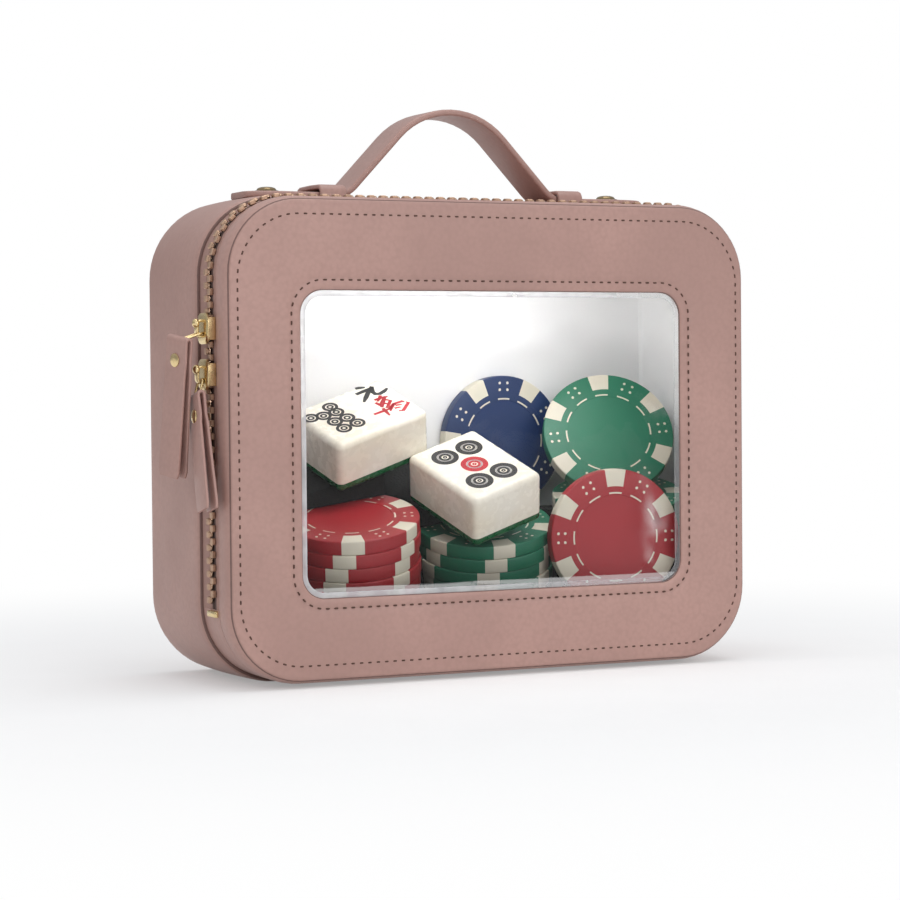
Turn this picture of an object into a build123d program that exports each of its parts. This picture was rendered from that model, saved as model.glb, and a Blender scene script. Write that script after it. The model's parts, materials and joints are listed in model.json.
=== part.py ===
from build123d import *
import math
import os

# A zippered leather case for table games: a deep rear half, a shallow lid half with a window, a strap
# handle, two zip runners, and the chips and tiles that lie in a foam insert.
# +X is to the right, -Y is the front, +Z is up. The case stands on z = 0. Lengths are in millimetres.

# Case
CASE_WIDTH = 186.0
CASE_HEIGHT = 151.5
CASE_DEPTH = 66.0
CORNER_RADIUS = 25.25
LID_INSET = 1.25          # how far the lid's outline stands inside the rear half's
LEATHER = 1.25
BOARD = 1.8
LINING = 0.6
PANE = 0.4
EDGE_ROUNDING = 0.9       # softened outer edge of the front and back leather
CLEARANCE = 0.3           # loose pieces and their seats
BUCKET_RIM = 22.3         # from the case's front to the rear half's leather edge
TAPE_TUCK = 3.7           # how far the tape runs in under the rear half's leather

# Window
WINDOW_WIDTH = 134.6
WINDOW_HEIGHT = 94.7
WINDOW_BOTTOM = 27.0
WINDOW_SHIFT = -0.3
WINDOW_RADIUS = 7.5
WINDOW_MARGIN = 1.5       # board and lining stand back from the leather's window edge

# Zip
CHAIN_SETBACK = 13.0      # from the case's front to the middle of the chain
TAPE_SLIT = 1.2
TEETH_SLIT = 1.0
LID_EDGE_SETBACK = 9.0    # from the case's front to the end of the lid's leather
TOOTH_PITCH = 4.0         # along one row; the two rows alternate
TOOTH_LENGTH = 2.3
TOOTH_WIDTH = 2.9
TOOTH_HEIGHT = 1.9
CHAIN_END = 24.0          # height of both ends of the chain
STOP_HEIGHT = 1.1
STOP_LENGTH = 2.0
HINGE_AXIS_DROP = 0.15    # hinge line below the lid's lower face

# Zip runners
RUNNER_LENGTH = 9.5
RUNNER_WIDTH = 8.6
RUNNER_ROUNDING = 2.2
RUNNER_PLATE = 0.9
RUNNER_POST = 0.6
RUNNER_GAP = 0.1          # over the teeth and under the tape
UPPER_RUNNER = 110.0      # height of the upper runner
RUNNER_SPACING = 14.0     # the lower runner hangs this far under it
BRIDGE_LENGTH = 5.6
BRIDGE_WIDTH = 2.2
BRIDGE_HEIGHT = 2.2
BRIDGE_WALL = 0.8
LINK_WIRE = 0.8
LINK_WIDTH = 4.6
LINK_EASE = 0.2           # from the link's wire to the bridge and the plate
PULL_LEATHER = 0.9
PULL_EASE = 0.1           # from the link's wire to each leaf
PULL_ROUNDING = 1.2
PULL_RIVET = 4.2
RIVET_DROP = 6.0          # below the bar that the leather hangs on
RIVET_SHANK = 1.6
RIVET_HEAD = 0.6
# link is the distance between the link's bars and stand_out its angle from the case's side;
# twist turns the leather to the front and lean takes its lower end to the rear, in degrees
PULLS = {
    "upper": {"width": 10.0, "length": 42.0, "link": 7.0, "stand_out": 72.0, "twist": 17.0, "lean": 10.0},
    "lower": {"width": 9.0, "length": 35.0, "link": 5.6, "stand_out": 14.0, "twist": 0.0, "lean": -14.0},
}

# Handle
STRAP_WIDTH = 17.0
STRAP_THICKNESS = 2.0
STRAP_MIDDLE = 7.0        # depth of the strap's middle line
STRAP_LIFT = 0.3          # over the case
STRAP_TIP_SETBACK = 21.0  # from the case's side
STRAP_TIP_ROUNDING = 4.0
HANDLE_SPAN = 42.0        # half the distance between the strap's flat ends
HANDLE_RISE = 28.0        # of the strap's top face over its flat ends
CROWN_RADIUS = 27.0
FOOT_RADIUS = 9.0
KEEPER_INNER = 38.5
KEEPER_OUTER = 47.5
KEEPER_WALL = 1.4
KEEPER_HEADROOM = 1.1     # over the strap
KEEPER_EASE = 0.4         # beside the strap
STUD_SETBACK = 10.0       # from the strap's tip
STUD_BASE = 8.2
STUD_DOME = 6.2
STUD_HEIGHT = 1.5
STUD_BASE_HEIGHT = 0.5
STUD_POST = 1.2           # radius of the post through the strap

# Contents
CHIP_DIAMETER = 44.5
CHIP_THICKNESS = 4.6
CHIP_EDGE = 0.4
CHIP_GAP = 0.05
STACK_COUNT = 5
REAR_COUNT = 2
STACK_TILT = 18.0
REAR_TILT = 15.0
VIEW_TURN = 27.0          # the piles and tiles tip towards a viewer at the front left
TILE_LONG = 36.0
TILE_SHORT = 27.5
TILE_THICKNESS = 18.0
TILE_BACK = 3.2
TILE_EDGE = 2.2
TILE_TILT = 30.0
TILE_SPIN = 11.0
BACK_ROOM = 8.7           # from the case's back to the face of a chip that stands against it
FRONT_ROOM = 9.5          # from the case's front to the face of a chip that stands behind it

# Foam
FOAM_GAP = 0.3
FOAM_LID_GAP = 0.5
FOAM_FRONT = 4.4          # from the case's front
FOAM_BED = 24.0
FOAM_STEP = 6.0           # depth of the front face of the high blocks
FOAM_HIGH = 74.0
FOAM_SHELF = 50.0
FOAM_SPLIT_LEFT = -22.0
FOAM_SPLIT_RIGHT = 28.0

# Derived planes and levels
FRONT = -CASE_DEPTH / 2
BACK = CASE_DEPTH / 2
MIDDLE = CASE_HEIGHT / 2
RIM = FRONT + BUCKET_RIM
TUCK = RIM + TAPE_TUCK
CHAIN = FRONT + CHAIN_SETBACK
LID_EDGE = FRONT + LID_EDGE_SETBACK
LID_IN = LID_INSET + LEATHER
LID_BOARD_EDGE = LID_EDGE - 1.0
PANE_FRONT = FRONT + LEATHER
PANE_BACK = PANE_FRONT + PANE
BOARD_BACK = PANE_BACK + BOARD
BODY_IN = LEATHER + BOARD
BODY_CLEAR = BODY_IN + LINING
LID_CLEAR = LID_IN + BOARD + LINING
BACK_BOARD_BACK = BACK - LEATHER
BACK_BOARD_FRONT = BACK_BOARD_BACK - BOARD
STRAP_BASE = CASE_HEIGHT + STRAP_LIFT
STRAP_TOP = STRAP_BASE + STRAP_THICKNESS
STRAP_FRONT = STRAP_MIDDLE - STRAP_WIDTH / 2
HALF_CHIP = CHIP_DIAMETER / 2
UPRIGHT = 90.0
SIDE = CASE_WIDTH / 2
STRAP_TIP = SIDE - STRAP_TIP_SETBACK
STUD_PLACE = STRAP_TIP - STUD_SETBACK
RUNNER_HEIGHTS = {"upper": UPPER_RUNNER, "lower": UPPER_RUNNER - RUNNER_SPACING}
TEETH_TOP = SIDE - LID_INSET + TOOTH_HEIGHT
RUNNER_FACE = TEETH_TOP + RUNNER_GAP + RUNNER_PLATE
BRIDGE_HOLE = BRIDGE_HEIGHT - BRIDGE_WALL
LINK_PIVOT = RUNNER_FACE + LINK_EASE + LINK_WIRE / 2
LINK_DROP = BRIDGE_LENGTH / 2 - BRIDGE_WALL - LINK_EASE - LINK_WIRE / 2
# middle of each top face: across in shares of the half width, the depth from the case's middle
RED_STACK_TOP = (-0.4226 * SIDE, -5.0, 50.4)
GREEN_STACK_TOP = (0.129 * SIDE, 1.2, 46.7)
REAR_GREEN_TOP = (0.6882 * SIDE, 3.5, 55.0)
LEFT_TILE_TOP = (-0.329 * SIDE, 6.7, 83.8)
RIGHT_TILE_TOP = (0.0108 * SIDE, -13.3, 66.6)
# middle of the face, turn to the left, lean to the rear
STANDING_CHIPS = {
    "blue_chip": ((0.3387 * SIDE, BACK - BACK_ROOM, 72.7), 0.0, 0.0),
    "green_chip": ((0.6613 * SIDE, 5.0, 75.4), 20.0, 28.0),
    "red_chip": ((0.5118 * SIDE, FRONT + FRONT_ROOM, 41.9), 9.6, 0.0),
}
# frame of the left side: first axis to the front, second axis up, third axis out of the case
LEFT_WALL = Location(Plane((0, 0, 0), x_dir=(0, -1, 0), z_dir=(-1, 0, 0)))

os.makedirs("parts", exist_ok=True)
pieces = {}


def outline(inset):
    """The case's front outline, drawn in by inset on every side."""
    shape = RectangleRounded(CASE_WIDTH - 2 * inset, CASE_HEIGHT - 2 * inset, CORNER_RADIUS - inset)
    return Pos(0, MIDDLE) * shape


def window(margin):
    """The window's outline, widened by margin."""
    width, height = WINDOW_WIDTH + 2 * margin, WINDOW_HEIGHT + 2 * margin
    shape = RectangleRounded(width, height, WINDOW_RADIUS + margin)
    return Pos(WINDOW_SHIFT, WINDOW_BOTTOM + WINDOW_HEIGHT / 2) * shape


def prism(sketch, front, back):
    """Extrudes a sketch that is drawn on the front plane from one depth to another."""
    return extrude(Plane.XZ.offset(-back) * sketch, amount=back - front)


def ring(inset, wall, front, back):
    """A band with the case's outline."""
    return prism(outline(inset) - outline(inset + wall), front, back)


def block(x0, x1, y0, y1, z0, z1):
    """A box between two corners."""
    return Pos((x0 + x1) / 2, (y0 + y1) / 2, (z0 + z1) / 2) * Box(x1 - x0, y1 - y0, z1 - z0)


def above(level):
    """Everything higher than a level."""
    return block(-CASE_WIDTH, CASE_WIDTH, -CASE_DEPTH, CASE_DEPTH, level, 2 * CASE_HEIGHT)


def below(level):
    """Everything lower than a level."""
    return block(-CASE_WIDTH, CASE_WIDTH, -CASE_DEPTH, CASE_DEPTH, -CASE_HEIGHT, level)


def place(point, turn, tip):
    """A frame at a point whose up axis tips towards a viewer who stands turned to the left."""
    return Pos(*point) * Rot(0, 0, -turn) * Rot(tip, 0, 0) * Rot(0, 0, turn)


# Rear half ------------------------------------------------------------------------------------------


def rear_half():
    pieces["body_gusset"] = ring(0, LEATHER, RIM, BACK_BOARD_BACK)
    panel = prism(outline(0), BACK_BOARD_BACK, BACK)
    pieces["back_panel"] = fillet(panel.faces().sort_by(Axis.Y)[-1].edges(), EDGE_ROUNDING)
    pieces["body_board"] = ring(LEATHER, BOARD, TUCK, BACK_BOARD_FRONT)
    pieces["back_board"] = prism(outline(LEATHER), BACK_BOARD_FRONT, BACK_BOARD_BACK)
    lining_back = BACK_BOARD_FRONT - LINING
    lining = ring(BODY_IN, LINING, TUCK, lining_back)
    pieces["body_lining"] = lining + prism(outline(BODY_IN), lining_back, BACK_BOARD_FRONT)
    band = ring(LID_INSET, LEATHER, CHAIN + TAPE_SLIT / 2, TUCK)
    pieces["zip_tape_body"] = band & above(CHAIN_END)
    strip = ring(LID_INSET, LEATHER, LID_EDGE, TUCK)
    pieces["hinge_strip"] = strip & below(CHAIN_END)


# Lid half -------------------------------------------------------------------------------------------


def lid_half():
    frame = prism(outline(LID_INSET) - window(0), FRONT, PANE_FRONT)
    front_edges = frame.faces().sort_by(Axis.Y)[0].edges()
    pieces["lid_frame"] = fillet(front_edges, EDGE_ROUNDING)
    pieces["window_pane"] = prism(outline(LID_IN), PANE_FRONT, PANE_BACK)
    leather = ring(LID_INSET, LEATHER, PANE_FRONT, LID_EDGE)
    pieces["lid_gusset"] = leather
    board = prism(outline(LID_IN) - window(WINDOW_MARGIN), PANE_BACK, BOARD_BACK)
    pieces["lid_board"] = board + ring(LID_IN, BOARD, BOARD_BACK, LID_BOARD_EDGE)
    inner = LID_IN + BOARD
    lining = prism(outline(inner) - window(WINDOW_MARGIN), BOARD_BACK, BOARD_BACK + LINING)
    pieces["lid_lining"] = lining + ring(inner, LINING, BOARD_BACK + LINING, LID_BOARD_EDGE)
    tape = ring(LID_INSET, LEATHER, LID_EDGE, CHAIN - TAPE_SLIT / 2)
    pieces["zip_tape_lid"] = tape & above(CHAIN_END + CLEARANCE)


# Zip ------------------------------------------------------------------------------------------------


def chain_place(run):
    """Point (x, z) on the tape's outer face and the angle of its outward normal, run mm along the chain."""
    radius = CORNER_RADIUS - LID_INSET
    rise = CASE_HEIGHT - CORNER_RADIUS - CHAIN_END
    arc = radius * math.pi / 2
    span = CASE_WIDTH - 2 * CORNER_RADIUS
    side = SIDE - LID_INSET
    corner = CASE_HEIGHT - CORNER_RADIUS
    if run < rise:
        return -side, CHAIN_END + run, 180.0
    run -= rise
    if run < arc:
        turn = math.pi - run / radius
        x, z = -span / 2 + radius * math.cos(turn), corner + radius * math.sin(turn)
        return x, z, math.degrees(turn)
    run -= arc
    if run < span:
        return -span / 2 + run, CASE_HEIGHT - LID_INSET, 90.0
    run -= span
    if run < arc:
        turn = math.pi / 2 - run / radius
        x, z = span / 2 + radius * math.cos(turn), corner + radius * math.sin(turn)
        return x, z, math.degrees(turn)
    return side, corner - (run - arc), 0.0


def chain_length():
    """Length of the chain along the tape's outer face."""
    straight = 2 * (CASE_HEIGHT - CORNER_RADIUS - CHAIN_END) + CASE_WIDTH - 2 * CORNER_RADIUS
    return straight + (CORNER_RADIUS - LID_INSET) * math.pi


def teeth(middle, start):
    """One row of teeth, seated on the tape, at a depth and from a start along the chain."""
    row = []
    for number in range(int((chain_length() - start - TOOTH_PITCH) / TOOTH_PITCH) + 1):
        x, z, normal = chain_place(start + number * TOOTH_PITCH)
        seat = Pos(x, middle, z) * Rot(0, -normal, 0)
        row.append(seat * Pos(TOOTH_HEIGHT / 2, 0, 0) * Box(TOOTH_HEIGHT, TOOTH_WIDTH, TOOTH_LENGTH))
    return Compound(children=row)


def zip_chain():
    offset = TEETH_SLIT / 2 + TOOTH_WIDTH / 2
    first = STOP_LENGTH + TOOTH_LENGTH / 2
    pieces["zip_teeth_lid"] = teeth(CHAIN - offset, first + TOOTH_PITCH / 2)
    pieces["zip_teeth_body"] = teeth(CHAIN + offset, first)
    width = 2 * TOOTH_WIDTH + TEETH_SLIT
    stops = []
    for side in (-1, 1):
        seat = Pos(side * (SIDE - LID_INSET + STOP_HEIGHT / 2), CHAIN, CHAIN_END - STOP_LENGTH / 2)
        stop = Box(STOP_HEIGHT, width, STOP_LENGTH)
        stops.append(seat * stop)
    pieces["zip_end_stops"] = Compound(children=stops)


def runner(name):
    """A zip runner: a plate over the teeth, a post through the slit, a plate under the tape and a bridge."""
    outer = TEETH_TOP + RUNNER_GAP + RUNNER_PLATE / 2
    inner = SIDE - LID_IN - RUNNER_GAP - RUNNER_PLATE / 2
    plate = RectangleRounded(RUNNER_WIDTH, RUNNER_LENGTH, RUNNER_ROUNDING)
    plate = extrude(plate, amount=RUNNER_PLATE / 2, both=True)
    wall = Pos(0, CHAIN, RUNNER_HEIGHTS[name]) * LEFT_WALL
    body = wall * Pos(0, 0, outer) * plate + wall * Pos(0, 0, inner) * plate
    post = Box(RUNNER_POST, RUNNER_LENGTH / 2, outer - inner)
    body += wall * Pos(0, 0, (outer + inner) / 2) * post
    arch = RectangleRounded(2 * BRIDGE_HEIGHT, BRIDGE_LENGTH, BRIDGE_HEIGHT * 0.7)
    hole = RectangleRounded(2 * BRIDGE_HOLE, BRIDGE_LENGTH - 2 * BRIDGE_WALL, BRIDGE_HOLE * 0.5)
    band = extrude(Plane.XZ * (arch - hole), amount=BRIDGE_WIDTH / 2, both=True)
    band = split(band, Plane.YZ, keep=Keep.TOP)
    upright = Location(Plane((0, 0, RUNNER_FACE), x_dir=(0, 0, 1), z_dir=(0, 1, 0)))
    pieces["slider_" + name] = body + wall * upright * band


def zip_pull(name):
    """The wire link, the folded leather that hangs on it, and the rivet that closes the fold."""
    facts = PULLS[name]
    pivot = Pos(-LINK_PIVOT, CHAIN, RUNNER_HEIGHTS[name] - LINK_DROP) * LEFT_WALL
    reach = facts["link"]
    wire = RectangleRounded(LINK_WIDTH, reach + LINK_WIRE, LINK_WIRE)
    wire -= RectangleRounded(LINK_WIDTH - 2 * LINK_WIRE, reach - LINK_WIRE, LINK_WIRE / 2)
    link = extrude(wire, amount=LINK_WIRE / 2, both=True)
    link = fillet(link.edges(), LINK_WIRE / 4)
    hang = pivot * Rot(-facts["stand_out"], 0, 0)
    link = hang * Pos(0, -reach / 2, 0) * link
    out = math.radians(facts["stand_out"])
    bar = Pos(0, -reach * math.cos(out), reach * math.sin(out))
    swing = pivot * bar * Rot(0, 0, -facts["lean"]) * Rot(0, facts["twist"], 0)
    half_gap = LINK_WIRE / 2 + PULL_EASE
    half = half_gap + PULL_LEATHER
    # the fold's section lies across the width: first axis up, second axis out
    leaves = Pos(-facts["length"] / 2, 0) * Rectangle(facts["length"], 2 * half)
    leaves -= Pos(-facts["length"] / 2, 0) * Rectangle(facts["length"], 2 * half_gap)
    bend = Circle(half) - Circle(half_gap) - Pos(-half, 0) * Rectangle(2 * half, 4 * half)
    across = Plane((0, 0, 0), x_dir=(0, 1, 0), z_dir=(1, 0, 0))
    fold = extrude(across * (leaves + bend), amount=facts["width"] / 2, both=True)
    trim = RectangleRounded(facts["width"], facts["length"] + half, PULL_ROUNDING)
    fold = fold & Pos(0, (half - facts["length"]) / 2, 0) * extrude(trim, amount=2 * half, both=True)
    rivet_place = Pos(0, -RIVET_DROP, 0)
    fold = swing * (fold - rivet_place * Cylinder(RIVET_SHANK / 2, 4 * half)) - link
    head = Cylinder(PULL_RIVET / 2, RIVET_HEAD)
    rivet = Cylinder(RIVET_SHANK / 2, 2 * half)
    for side in (-1, 1):
        rivet += Pos(0, 0, side * (half + RIVET_HEAD / 2)) * head
    rivet = fillet(rivet.edges().group_by(Axis.Z)[0] + rivet.edges().group_by(Axis.Z)[-1], RIVET_HEAD * 0.6)
    pieces["bail_" + name] = link
    pieces["pull_" + name] = fold
    pieces["rivet_" + name] = swing * rivet_place * rivet


# Handle ---------------------------------------------------------------------------------------------


def arc_band(center, inner, outer, start, size):
    """A curved strip between two radii, over size degrees from start."""
    far = CenterArc(center, outer, start, size)
    near = CenterArc(center, inner, start, size)
    return make_face([far, near, Line(far @ 0, near @ 0), Line(far @ 1, near @ 1)])


def strap(sketch):
    """Gives a side view of the strap its width."""
    return prism(sketch, STRAP_FRONT, STRAP_FRONT + STRAP_WIDTH)


def both_sides(name, solid):
    """Stores a piece of the right side and its mirror image."""
    pieces[name + "_right"] = solid
    pieces[name + "_left"] = mirror(solid, about=Plane.YZ)


def handle():
    crown_middle = STRAP_TOP + HANDLE_RISE - CROWN_RADIUS
    foot_middle = STRAP_TOP + FOOT_RADIUS
    between = math.hypot(HANDLE_SPAN, foot_middle - crown_middle)
    climb = math.degrees(math.atan2(foot_middle - crown_middle, HANDLE_SPAN))
    slope = math.degrees(math.asin((CROWN_RADIUS + FOOT_RADIUS) / between)) - climb
    top = (0, crown_middle)
    foot = (HANDLE_SPAN, foot_middle)
    crown = arc_band(top, CROWN_RADIUS - STRAP_THICKNESS, CROWN_RADIUS, UPRIGHT - slope, 2 * slope)
    pieces["handle_crown"] = strap(crown)
    bend = arc_band(foot, FOOT_RADIUS, FOOT_RADIUS + STRAP_THICKNESS, 3 * UPRIGHT - slope, slope)
    lean = math.radians(slope)
    away = Vector(math.sin(lean), math.cos(lean))
    corners = [
        Vector(*top) + away * CROWN_RADIUS,
        Vector(*foot) - away * FOOT_RADIUS,
        Vector(*foot) - away * (FOOT_RADIUS + STRAP_THICKNESS),
        Vector(*top) + away * (CROWN_RADIUS - STRAP_THICKNESS),
    ]
    run = make_face(Polyline(*corners, close=True))
    both_sides("handle_flank", strap(run) + strap(bend))
    end = block(HANDLE_SPAN, STRAP_TIP, STRAP_FRONT, STRAP_FRONT + STRAP_WIDTH, STRAP_BASE, STRAP_TOP)
    tip = end.edges().filter_by(Axis.Z).group_by(Axis.X)[-1]
    hole = Cylinder(STUD_POST, 4 * STRAP_THICKNESS)
    end = fillet(tip, STRAP_TIP_ROUNDING) - Pos(STUD_PLACE, STRAP_MIDDLE, STRAP_TOP) * hole
    both_sides("strap_end", end)
    stud = Pos(0, 0, STUD_BASE_HEIGHT / 2) * Cylinder(STUD_BASE / 2, STUD_BASE_HEIGHT)
    dome_height = STUD_HEIGHT - STUD_BASE_HEIGHT
    dome = Pos(0, 0, STUD_BASE_HEIGHT + dome_height / 2) * Cylinder(STUD_DOME / 2, dome_height)
    dome = fillet(dome.edges().group_by(Axis.Z)[-1], dome_height * 0.9)
    post = Pos(0, 0, -STRAP_THICKNESS / 2) * Cylinder(STUD_POST, STRAP_THICKNESS)
    both_sides("stud", Pos(STUD_PLACE, STRAP_MIDDLE, STRAP_TOP) * (stud + dome + post))
    inside = STRAP_WIDTH + 2 * KEEPER_EASE
    width = inside + 2 * KEEPER_WALL
    roof = STRAP_TOP + KEEPER_HEADROOM
    front = STRAP_MIDDLE - width / 2
    keeper = block(KEEPER_INNER, KEEPER_OUTER, front, front + width, CASE_HEIGHT, roof + KEEPER_WALL)
    keeper = fillet(keeper.edges().filter_by(Axis.X).group_by(Axis.Z)[-1], KEEPER_WALL)
    front += KEEPER_WALL
    keeper -= block(0, STRAP_TIP, front, front + inside, 0, roof)
    both_sides("keeper", keeper)


# Contents -------------------------------------------------------------------------------------------


def chip():
    """A chip whose face lies on the origin, with its edges eased."""
    return Pos(0, 0, -CHIP_THICKNESS / 2) * fillet(Cylinder(HALF_CHIP, CHIP_THICKNESS).edges(), CHIP_EDGE)


def pile(top, tilt, count):
    """A pile of separate chips under a point."""
    seat = place(top, VIEW_TURN, tilt)
    step = CHIP_THICKNESS + CHIP_GAP
    return Compound(children=[seat * Pos(0, 0, -number * step) * chip() for number in range(count)])


def pocket(top, tilt, count):
    """The room that a pile needs in the foam."""
    depth = count * (CHIP_THICKNESS + CHIP_GAP)
    room = Cylinder(HALF_CHIP + FOAM_GAP, depth + 2 * FOAM_GAP)
    return place(top, VIEW_TURN, tilt) * Pos(0, 0, -depth / 2) * room


def standing(point, turn, lean):
    """The frame of a chip that stands on its edge."""
    return Pos(*point) * Rot(0, 0, -turn) * Rot(90 - lean, 0, 0)


def slot(point, turn, lean):
    """The room that a standing chip needs in the foam, open at the top."""
    thickness = CHIP_THICKNESS + 2 * FOAM_GAP
    radius = HALF_CHIP + FOAM_GAP
    room = Cylinder(radius, thickness) + Pos(0, radius, 0) * Box(2 * radius, 2 * radius, thickness)
    return standing(point, turn, lean) * Pos(0, 0, -CHIP_THICKNESS / 2) * room


def tile(name, top, along, across):
    """An ivory tile with a coloured back, tipped towards the viewer."""
    seat = place(top, VIEW_TURN, TILE_TILT) * Rot(0, 0, TILE_SPIN)
    whole = Pos(0, 0, -TILE_THICKNESS / 2) * Box(along, across, TILE_THICKNESS)
    whole = fillet(whole.edges(), TILE_EDGE)
    level = Plane.XY.offset(TILE_BACK - TILE_THICKNESS)
    pieces[name + "_face"] = seat * split(whole, level, keep=Keep.TOP)
    pieces[name + "_back"] = seat * split(whole, level, keep=Keep.BOTTOM)


def slope(top, left, right):
    """Everything over a tile's lower face, between two widths."""
    bulk = 2 * CASE_WIDTH
    seat = place(top, VIEW_TURN, TILE_TILT) * Pos(0, 0, bulk / 2 - TILE_THICKNESS - FOAM_GAP)
    return seat * Box(bulk, bulk, bulk) & block(left, right, FOAM_STEP, BACK, 0, CASE_HEIGHT)


def contents():
    pieces["red_chip_stack"] = pile(RED_STACK_TOP, STACK_TILT, STACK_COUNT)
    pieces["green_chip_stack"] = pile(GREEN_STACK_TOP, STACK_TILT, STACK_COUNT)
    pieces["rear_green_chips"] = pile(REAR_GREEN_TOP, REAR_TILT, REAR_COUNT)
    tile("tile_left", LEFT_TILE_TOP, TILE_LONG, TILE_SHORT)
    tile("tile_right", RIGHT_TILE_TOP, TILE_SHORT, TILE_LONG)
    for name, (point, turn, lean) in STANDING_CHIPS.items():
        pieces[name] = standing(point, turn, lean) * chip()


def foam():
    """Foam block with a low bed in front, sloped blocks under the tiles and pockets for the chips."""
    lining_front = BACK_BOARD_FRONT - LINING
    core = prism(outline(BODY_CLEAR + FOAM_GAP), TUCK + FOAM_GAP, lining_front - FOAM_GAP)
    core += prism(outline(LID_CLEAR + FOAM_LID_GAP), FRONT + FOAM_FRONT, TUCK + FOAM_GAP)
    core = core & below(FOAM_HIGH)
    core -= block(-SIDE, SIDE, FRONT, FOAM_STEP, FOAM_BED, CASE_HEIGHT)
    core -= block(FOAM_SPLIT_RIGHT, SIDE, FOAM_STEP, BACK, FOAM_SHELF, CASE_HEIGHT)
    core -= slope(LEFT_TILE_TOP, -SIDE, FOAM_SPLIT_RIGHT)
    core -= slope(RIGHT_TILE_TOP, FOAM_SPLIT_LEFT, FOAM_SPLIT_RIGHT)
    core -= pocket(RED_STACK_TOP, STACK_TILT, STACK_COUNT)
    core -= pocket(GREEN_STACK_TOP, STACK_TILT, STACK_COUNT)
    core -= pocket(REAR_GREEN_TOP, REAR_TILT, REAR_COUNT)
    core -= slot(*STANDING_CHIPS["blue_chip"])
    core -= slot(*STANDING_CHIPS["red_chip"])
    pieces["foam_insert"] = core


def main():
    rear_half()
    lid_half()
    zip_chain()
    for name in RUNNER_HEIGHTS:
        runner(name)
        zip_pull(name)
    handle()
    contents()
    foam()
    for name, piece in pieces.items():
        export_step(piece, os.path.join("parts", name + ".step"))
    print(len(pieces), "pieces; chain", round(chain_length(), 1), "mm")


main()
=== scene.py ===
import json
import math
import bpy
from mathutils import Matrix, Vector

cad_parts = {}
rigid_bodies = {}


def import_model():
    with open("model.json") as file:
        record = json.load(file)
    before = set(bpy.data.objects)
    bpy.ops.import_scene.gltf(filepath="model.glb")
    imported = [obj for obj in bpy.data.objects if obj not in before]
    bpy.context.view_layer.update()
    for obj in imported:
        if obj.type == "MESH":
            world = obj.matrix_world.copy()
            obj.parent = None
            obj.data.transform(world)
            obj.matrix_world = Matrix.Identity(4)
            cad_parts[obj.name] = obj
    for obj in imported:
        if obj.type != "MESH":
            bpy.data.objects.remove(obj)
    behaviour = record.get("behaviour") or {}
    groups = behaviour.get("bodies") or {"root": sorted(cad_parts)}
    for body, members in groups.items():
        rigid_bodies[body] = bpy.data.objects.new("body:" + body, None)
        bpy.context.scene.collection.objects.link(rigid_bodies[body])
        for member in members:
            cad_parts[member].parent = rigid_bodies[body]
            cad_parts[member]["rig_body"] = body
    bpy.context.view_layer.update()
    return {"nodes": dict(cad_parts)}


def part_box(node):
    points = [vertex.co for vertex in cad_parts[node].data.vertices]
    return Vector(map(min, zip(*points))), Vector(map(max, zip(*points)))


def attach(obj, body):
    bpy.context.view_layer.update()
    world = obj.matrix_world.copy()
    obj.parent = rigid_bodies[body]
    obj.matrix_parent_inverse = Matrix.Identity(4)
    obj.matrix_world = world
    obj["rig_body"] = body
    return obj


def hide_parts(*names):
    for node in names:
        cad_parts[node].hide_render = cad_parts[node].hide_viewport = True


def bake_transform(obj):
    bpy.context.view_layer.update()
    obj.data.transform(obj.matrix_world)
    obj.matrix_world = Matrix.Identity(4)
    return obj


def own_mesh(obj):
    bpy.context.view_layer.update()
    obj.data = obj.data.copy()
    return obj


bl_info = {
    "name": "Windowed game case",
    "version": (1, 0, 0),
    "blender": (4, 5, 0),
    "location": "View3D > Sidebar > Game case",
    "description": "Dresses a zippered leather game case, its zip, handle, chips and tiles",
    "category": "Add Mesh",
}

import bmesh
import bpy
from mathutils import Matrix, Vector

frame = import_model()

MM = 0.001

# The case, in millimetres
FRONT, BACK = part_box("lid_frame")[0].y / MM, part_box("back_panel")[1].y / MM
LID_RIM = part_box("lid_gusset")[1].y / MM
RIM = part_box("body_gusset")[0].y / MM
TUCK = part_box("zip_tape_body")[1].y / MM
WIDTH = (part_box("body_gusset")[1].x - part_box("body_gusset")[0].x) / MM
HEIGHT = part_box("body_gusset")[1].z / MM
MIDDLE = HEIGHT / 2
CORNER = 25.25
LID_INSET = 1.25
LEATHER = 1.25
BOARD = 1.8
WINDOW = (134.6, 94.7, 7.5)
WINDOW_MIDDLE = (-0.3, 74.35)
CHAIN = -20.0
CHAIN_END = 24.0
TEETH_SEAT = WIDTH / 2 - LID_INSET
RUNNERS = {"upper": 110.0, "lower": 96.0}
STRAP_MIDDLE = 7.0
STRAP_BASE = 151.8
STRAP_TOP = 153.8
STRAP_WIDTH = 17.0
STRAP_THICKNESS = 2.0
HANDLE_SPAN = 42.0
HANDLE_RISE = 28.0
CROWN_RADIUS = 27.0
FOOT_RADIUS = 9.0
TOOTH_PITCH = 4.0
TOOTH_HEIGHT = 1.9
RUNNER_GAP = 0.1
RUNNER_PLATE = 0.9
PLATE_FACE = TEETH_SEAT + TOOTH_HEIGHT + RUNNER_GAP + RUNNER_PLATE
VIEW_TURN = 27.0


def shade(red, green, blue):
    """A colour of 0 to 255, as a display shows it, in Blender's own values."""
    parts = (red / 255, green / 255, blue / 255)
    return tuple(part / 12.92 if part <= 0.04045 else ((part + 0.055) / 1.055) ** 2.4 for part in parts)


# Finishes -------------------------------------------------------------------------------------------


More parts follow.
